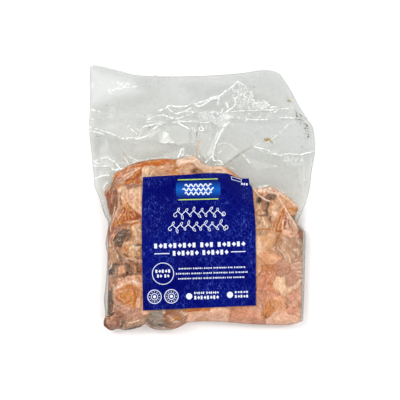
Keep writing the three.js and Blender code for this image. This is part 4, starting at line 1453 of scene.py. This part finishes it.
class Flat:
    """Flat shapes of one ink or oil, laid on a surface."""

    def __init__(self):
        self.points, self.faces = [], []

    def add(self, points, faces):
        first = len(self.points)
        self.points += [tuple(p) for p in points]
        self.faces += [tuple(first + i for i in face) for face in faces]

    def ribbon(self, line, half):
        """A line along points a short step apart."""
        line = np.asarray(line, float)
        run = np.gradient(line, axis=0)
        run /= np.hypot(run[:, 0], run[:, 1])[:, None]
        side = np.column_stack([-run[:, 1], run[:, 0]]) * np.reshape(half, (-1, 1))
        self.add(np.concatenate([line - side, line + side]),
                 [(i, i + 1, i + 1 + len(line), i + len(line)) for i in range(len(line) - 1)])

    def bar(self, x, y, width, height, step=1.5):
        """A bar from x rightwards, centred on y."""
        count = max(2, int(width / step) + 1)
        self.ribbon([(x + width * i / (count - 1), y) for i in range(count)], height / 2)

    def ring(self, x, y, radius, stroke, steps=56):
        turn = np.linspace(0, 2 * np.pi, steps + 1)
        self.ribbon(np.column_stack([x + radius * np.cos(turn), y + radius * np.sin(turn)]), stroke / 2)

    def disc(self, x, y, radius, steps=20):
        turn = np.linspace(0, 2 * np.pi, steps, endpoint=False)
        self.add([(x, y), *zip(x + radius * np.cos(turn), y + radius * np.sin(turn))],
                 [(0, 1 + i, 1 + (i + 1) % steps) for i in range(steps)])

    def diamond(self, x, y, width, height):
        middle = x + width / 2
        corners = [(middle, y - height / 2), (x + width, y), (middle, y + height / 2), (x, y)]
        self.add(corners, [(0, 1, 2, 3)])

    def marks(self, x, y, width, height, groups):
        """A row of bars and diamonds in groups."""
        unit, gap, space = height * 0.6, height * 0.2, height * 0.7
        scale = width / (sum(n * (unit + gap) - gap for n in groups) + space * (len(groups) - 1))
        bar_width, diamond_width, overhang = 0.8, 1.2, 0.1
        for count in groups:
            for k in range(count):
                if k % 2:
                    self.diamond(x - overhang * unit * scale, y, unit * scale * diamond_width, height)
                else:
                    self.bar(x, y, unit * scale * bar_width, height, step=3.0)
                x += (unit + gap) * scale
            x += (space - gap) * scale

    def vine(self, x, y, length, leaves):
        """A waving stem with a leaf at each bend and a curl at each end."""
        wave, bulge, curl = 1.3, 0.85, 2.2
        stem_half, leaf_half, curl_half = 0.32, 0.26, 0.3
        leaf_length, length_variety, lean_middle, lean_variety = 3.6, 1.2, 62, 16
        t = np.linspace(0, 1, 10 * leaves)
        stem = np.column_stack([x + t * length, y + wave * np.sin(t * leaves * np.pi)])
        self.ribbon(stem, stem_half)
        u = np.linspace(0, 1, 9)[:, None]
        for k in range(leaves):
            side = 1 if k % 2 == 0 else -1
            foot = np.array([x + (k + 0.5) * length / leaves, y + side * wave])
            lean = math.radians(lean_middle + lean_variety * math.sin(k * 2.1))
            axis = np.array([math.cos(lean), side * math.sin(lean)])
            cross = np.array([-axis[1], axis[0]])
            rib = foot + u * (leaf_length + length_variety * math.sin(k * 1.7)) * axis
            edge = np.sin(np.pi * u) * bulge * cross
            self.ribbon(np.concatenate([rib + edge, (rib - edge)[::-1]]), leaf_half)
        turn = np.linspace(0, 1.7 * np.pi, 26)
        for end, way, bends in ((x, -1, 0), (x + length, 1, leaves)):
            spiral = (curl - 0.3 * turn)[:, None] * np.column_stack([way * np.sin(turn), np.cos(turn)])
            self.ribbon(spiral + (end, y - curl + wave * math.sin(bends * math.pi)), curl_half)

    def make(self, name, material, turned_with_label=True, lift=INK_LIFT):
        points = np.array(self.points)
        if turned_with_label:
            c, s = math.cos(math.radians(LABEL_TURN)), math.sin(math.radians(LABEL_TURN))
            points = points @ np.array([(c, s), (-s, c)]) + LABEL_MIDDLE
        z = label_surface(points[:, 0], points[:, 1]) + lift
        make_mesh(name, np.column_stack([points, z]), self.faces, material, "label")


def ink_material(name, tone, other):
    s = Shader(name)
    wear = s.spread(s.noise(1500.0, 2.0), 0.66, 0.74, 0.0, 0.5)
    colour = s.mix(wear, s.clouded(400.0, 3.0, 0.35, 0.7, tone, other), WORN_INK)
    return s.printed(colour, 0.4, 0.52)


def plate_material():
    """The blue plate, lighter in its middle."""
    s = Shader("plate_ink")
    away = s.math("ABSOLUTE", s.math("SUBTRACT", s.axes()[1], (LABEL_MIDDLE[1] + PLATE_Y) * MM))
    share = s.spread(away, 0.0, PLATE_HEIGHT * MM / 2)
    return s.printed(s.mix(share, PLATE_MIDDLE_INK, PLATE_EDGE_INK), 0.36, 0.5, Specular_IOR_Level=0.1)


def add_plate(plate, green, white):
    """The plate, the green lines beside it and the waves on it."""
    across, along = shares(*PLATE_GRID)
    past = np.maximum(np.abs(along - 0.5) * PLATE_HEIGHT - PLATE_HEIGHT / 2 + PLATE_CORNER, 0)
    inset = PLATE_CORNER - np.sqrt(PLATE_CORNER ** 2 - past ** 2)
    x = PLATE_X + (across - 0.5) * (PLATE_WIDTH - 2 * inset)
    plate.add(np.column_stack([x, PLATE_Y + (along - 0.5) * PLATE_HEIGHT]), grid_quads(*PLATE_GRID).tolist())
    left, width = PLATE_X - PLATE_WIDTH / 2 + GREEN_INSET, PLATE_WIDTH - 2 * GREEN_INSET
    for side in (1, -1):
        green.bar(left, PLATE_Y + side * (PLATE_HEIGHT / 2 + GREEN_GAP), width, GREEN_STROKE)
    t = np.linspace(0, 1, 80)
    for k in (-1, 0, 1):
        length = PLATE_WIDTH - WAVE_INSET + WAVE_EXTRA * (k == 0)
        wave = WAVE_HEIGHT * np.sin(t * length / WAVE_LENGTH * 2 * np.pi)
        x = PLATE_X + (t - 0.5) * length
        white.ribbon(np.column_stack([x, PLATE_Y + k * WAVE_PITCH + wave]), WAVE_HALF)


def make_print():
    white, thin, plate, green, tag = (Flat() for _ in range(5))
    add_plate(plate, green, white)
    for row in VINES:
        thin.vine(*row)
    for row in BOLD_ROWS:
        white.marks(*row)
    for row in FINE_ROWS:
        thin.marks(*row, FINE_GROUPS)
    for row in RULES:
        white.bar(*row)
    for row in DOTS:
        white.disc(*row)
    thin.ring(*RING)
    for x, y in ROUND_MARKS:
        for radius, stroke in MARK_RINGS:
            white.ring(x, y, radius, stroke)
        white.disc(x, y, MARK_HEART)
        for turn in np.arange(BEADS) * 2 * math.pi / BEADS:
            bead_x, bead_y = x + BEAD_ORBIT * math.cos(turn), y + BEAD_ORBIT * math.sin(turn)
            white.disc(bead_x, bead_y, BEAD_RADIUS, steps=8)
    for start, end in zip(TAG_CORNERS, TAG_CORNERS[1:]):
        tag.ribbon(np.linspace(start, end, 4), TAG_HALF)
    for x, y in TAG_BARS:
        tag.bar(x, y, *TAG_BAR_SIZE, step=1.0)
    pale = ink_material("pale_ink", *PALE_INKS)
    white.make("label_print_bold", pale)
    thin.make("label_print_fine", pale)
    plate.make("label_plate", plate_material(), lift=INK_LIFT / 2)
    green.make("label_plate_edges", ink_material("green_ink", *GREEN_INKS))
    tag.make("label_print_corner", pale, turned_with_label=False)


# Crumbs, specks and oil

# Each crumb and speck is a middle and a size.
CRUMBS = [
    (57.5, 52.3, 1.3), (59.2, 53.2, 1.2), (60.6, 52.4, 1.0), (62.2, 51, 1.0), (63.4, 49.6, 0.8),
    (58.8, 51.4, 0.9), (78.2, 87.6, 1.0), (79.4, 87, 0.8),
]
SPECKS = [
    (-41.7, 110.2, 0.5), (-19.7, 100.2, 0.4), (-51.4, 74.4, 0.5), (-47.2, 63.4, 0.5), (-79.6, 84, 0.4),
    (-85.8, 83.4, 0.5), (-39, 105.4, 0.4), (47.6, 100.1, 0.6), (63.3, 92.3, 0.4), (77, 90, 0.4),
    (84.6, 79, 0.4), (85.6, 76.4, 0.7), (85.4, 74.6, 0.7), (86, 73.4, 0.7), (88.6, 75.2, 0.6),
    (89.6, 74, 0.8), (90.4, 72.8, 0.5), (93.4, 71.8, 0.6), (85, 71.1, 0.5), (87.6, 70.7, 0.6),
    (89.2, 70.4, 0.6), (91.4, 69.4, 0.5), (89.6, 68.4, 0.5), (88.8, 66.8, 0.5), (92, 67.2, 0.5),
    (93.6, 66.5, 0.6), (94.9, 65, 0.9), (93.4, 62.7, 0.8), (95.7, 62.4, 0.5), (94.2, 60.5, 0.5),
    (96.2, 59.8, 0.5), (94, 58.2, 0.5), (96.3, 57, 0.7), (96, 55.2, 0.9), (95.8, 53.1, 0.5),
    (92.8, 54, 0.4), (87.6, 55, 0.4), (90.4, 46.3, 0.6), (87.4, 60.2, 0.4),
]
# Of each kind: its height as a share of its size, and two tones.
CRUMB_LOOK = (0.5, (140, 110, 38), (190, 158, 84))
SPECK_LOOK = (0.3, (62, 62, 58), (92, 90, 84))
LUMP_RINGS, LUMP_SIDES, LUMP_LIFT, LUMP_NARROWNESS, LUMP_VARIETY = 6, 8, 0.05, 0.8, (0.75, 1.25)

# Smears of oil inside the film: half width, then points.
OIL = [
    (1.1, (4.6, 60), (1.4, 55), (-1.5, 50), (-3.6, 45), (-4.6, 40), (-5, 35)),
    (0.5, (-72.7, 43.5), (-69.3, 38.6), (-66.6, 34.5)),
    (0.5, (44, 45), (34, 38.4), (23.8, 31.5)),
]
OIL_TONES, OIL_DEPTH, OIL_UNEVENNESS = ((214, 158, 96), (236, 208, 166)), 0.25, 0.4
# Points made for each given one, and where the taper of the ends stops.
OIL_POINTS, OIL_ENDS = 12, (0.04, 0.96)


def speck_material(name, tone, other):
    s = Shader(name)
    rough = s.spread(s.noise(900.0, 2.0), 0.3, 0.7, 0.45, 0.7)
    return s.finish(Base_Color=s.clouded(1800.0, 3.0, 0.35, 0.65, tone, other), Roughness=rough,
                    Normal=s.bump(s.noise(1500.0, 3.0), 0.5, 0.0003))


def on_film(x, y):
    return front_surface(x, y, film_fields(x, y)[0])


def make_specks(name, rows, look):
    """Small uneven lumps on the film."""
    flatness, tone, other = look
    polar, turn = np.meshgrid(np.linspace(0, np.pi, LUMP_RINGS),
                              np.arange(LUMP_SIDES) * 2 * np.pi / LUMP_SIDES, indexing="ij")
    ring = np.arange((LUMP_RINGS - 1) * LUMP_SIDES).reshape(-1, LUMP_SIDES)
    after = np.roll(ring, -1, axis=1)
    quads = np.stack([ring, ring + LUMP_SIDES, after + LUMP_SIDES, after], axis=-1).reshape(-1, 4)
    points, faces = [], []
    for k, (x, y, size) in enumerate(rows):
        reach = size * np.random.default_rng(k).uniform(*LUMP_VARIETY, polar.shape) * np.sin(polar)
        z = on_film(np.array([x]), np.array([y])) + LUMP_LIFT + size * flatness * np.cos(polar)
        across, along = x + reach * np.cos(turn), y + LUMP_NARROWNESS * reach * np.sin(turn)
        points.append(np.stack([across, along, z], axis=-1).reshape(-1, 3))
        faces.append(quads + k * polar.size)
    material = speck_material(name + "_stuff", tone, other)
    make_mesh(name, np.concatenate(points), np.concatenate(faces), material)


def make_oil():
    s = Shader("oil_smear")
    streak = s.noise(420.0, 3.0)
    colour = s.mix(s.spread(streak, 0.35, 0.65), *OIL_TONES)
    material = s.finish(Base_Color=colour, Alpha=s.spread(streak, 0.3, 0.7, 0.3, 0.7), Roughness=0.25)
    oil = Flat()
    for half, *line in OIL:
        t = np.linspace(0, 1, OIL_POINTS * len(line))
        x, y = (np.interp(t * (len(line) - 1), range(len(line)), values) for values in zip(*line))
        taper = np.sin(np.pi * np.clip(t, *OIL_ENDS))
        oil.ribbon(np.column_stack([x, y]), half * taper * (1 + OIL_UNEVENNESS * noise(x, y, 2.5, 221)))
    points = np.array(oil.points)
    z = on_film(*points.T) - OIL_DEPTH
    make_mesh("oil_smears", np.column_stack([points, z]), oil.faces, material)


make_fish()
make_film("film_back", BACK_GRID, back_surface, BACK_LOOK, True)
make_film("film_front", FRONT_GRID, front_surface, FRONT_LOOK, False)
make_label()
make_print()
make_specks("crumbs", CRUMBS, CRUMB_LOOK)
make_specks("specks", SPECKS, SPECK_LOOK)
make_oil()


# Floor, light and camera, in metres

FLOOR_HALF, FLOOR_TONES = 3.0, ((249, 249, 249), (251, 251, 251))
# Soft lights: name, place, size, watts.
LIGHTS = [
    ("window_left", (-1.0, 0.75, 1.5), (0.6, 1.3), 18),
    ("window_right", (1.2, 0.4, 1.5), (0.4, 1.1), 10.4),
    ("window_front", (0.1, -1.3, 1.4), (1.5, 0.4), 9.2),
]
# A white tent with a hole straight above: where along Z the hole ends and the wall begins,
# and how bright both are.
TENT_HOLE, TENT_WALL, TENT_DARK, TENT_LIGHT = 0.97, 0.84, 0.03, 0.75
# The frame's width is met at the label's height; the view's centre is a place of the plan.
FRAME_WIDTH, CAMERA_HEIGHT, LABEL_PLANE, SENSOR_WIDTH, CAMERA_REACH = 0.36, 9, 0.023, 36, 20
VIEW_CENTRE = (-1.6, -2.0)


def make_floor():
    s = Shader("pale_floor")
    mesh = bpy.data.meshes.new("floor")
    corners = [(x * FLOOR_HALF, y * FLOOR_HALF, 0) for x, y in ((-1, -1), (1, -1), (1, 1), (-1, 1))]
    mesh.from_pydata(corners, [], [(0, 1, 2, 3)])
    mesh.materials.append(s.finish(Base_Color=s.clouded(6.0, 2.0, 0.3, 0.7, *FLOOR_TONES), Roughness=0.9))
    floor = bpy.data.objects.new("floor", mesh)
    bpy.context.scene.collection.objects.link(floor)


def make_light(name, place, size, watts):
    data = bpy.data.lights.new(name, "AREA")
    data.shape = "RECTANGLE"
    data.size, data.size_y = size
    data.energy = watts
    light = bpy.data.objects.new(name, data)
    light.location = place
    direction = -light.location.normalized()
    light.rotation_mode = "QUATERNION"
    light.rotation_quaternion = direction.to_track_quat("-Z", "Y")
    bpy.context.scene.collection.objects.link(light)


def make_tent():
    world = bpy.data.worlds.new("studio")
    world.use_nodes = True
    nodes, links = world.node_tree.nodes, world.node_tree.links
    background = nodes["Background"]
    place = nodes.new("ShaderNodeTexCoord")
    parts = nodes.new("ShaderNodeSeparateXYZ")
    tent = nodes.new("ShaderNodeMapRange")
    tent.interpolation_type = "SMOOTHSTEP"
    for socket, value in zip(tent.inputs[1:5], (TENT_HOLE, TENT_WALL, TENT_DARK, TENT_LIGHT)):
        socket.default_value = value
    links.new(place.outputs["Generated"], parts.inputs[0])
    links.new(parts.outputs[2], tent.inputs[0])
    links.new(tent.outputs[0], background.inputs[1])
    background.inputs[0].default_value = (1, 1, 1, 1)
    bpy.context.scene.world = world


def make_camera():
    """Looks straight down from high up, so that the plan shows as it is."""
    data = bpy.data.cameras.new("camera")
    data.sensor_width = SENSOR_WIDTH
    data.lens = SENSOR_WIDTH * (CAMERA_HEIGHT - LABEL_PLANE) / FRAME_WIDTH
    data.clip_end = CAMERA_REACH
    camera = bpy.data.objects.new("camera", data)
    camera.location = ((VIEW_CENTRE[0] + SHIFT_X) * MM, (VIEW_CENTRE[1] + SHIFT_Y) * MM, CAMERA_HEIGHT)
    bpy.context.scene.collection.objects.link(camera)
    bpy.context.scene.camera = camera


make_floor()
for light_row in LIGHTS:
    make_light(*light_row)
make_tent()
make_camera()
bpy.context.scene.view_settings.view_transform = "Standard"
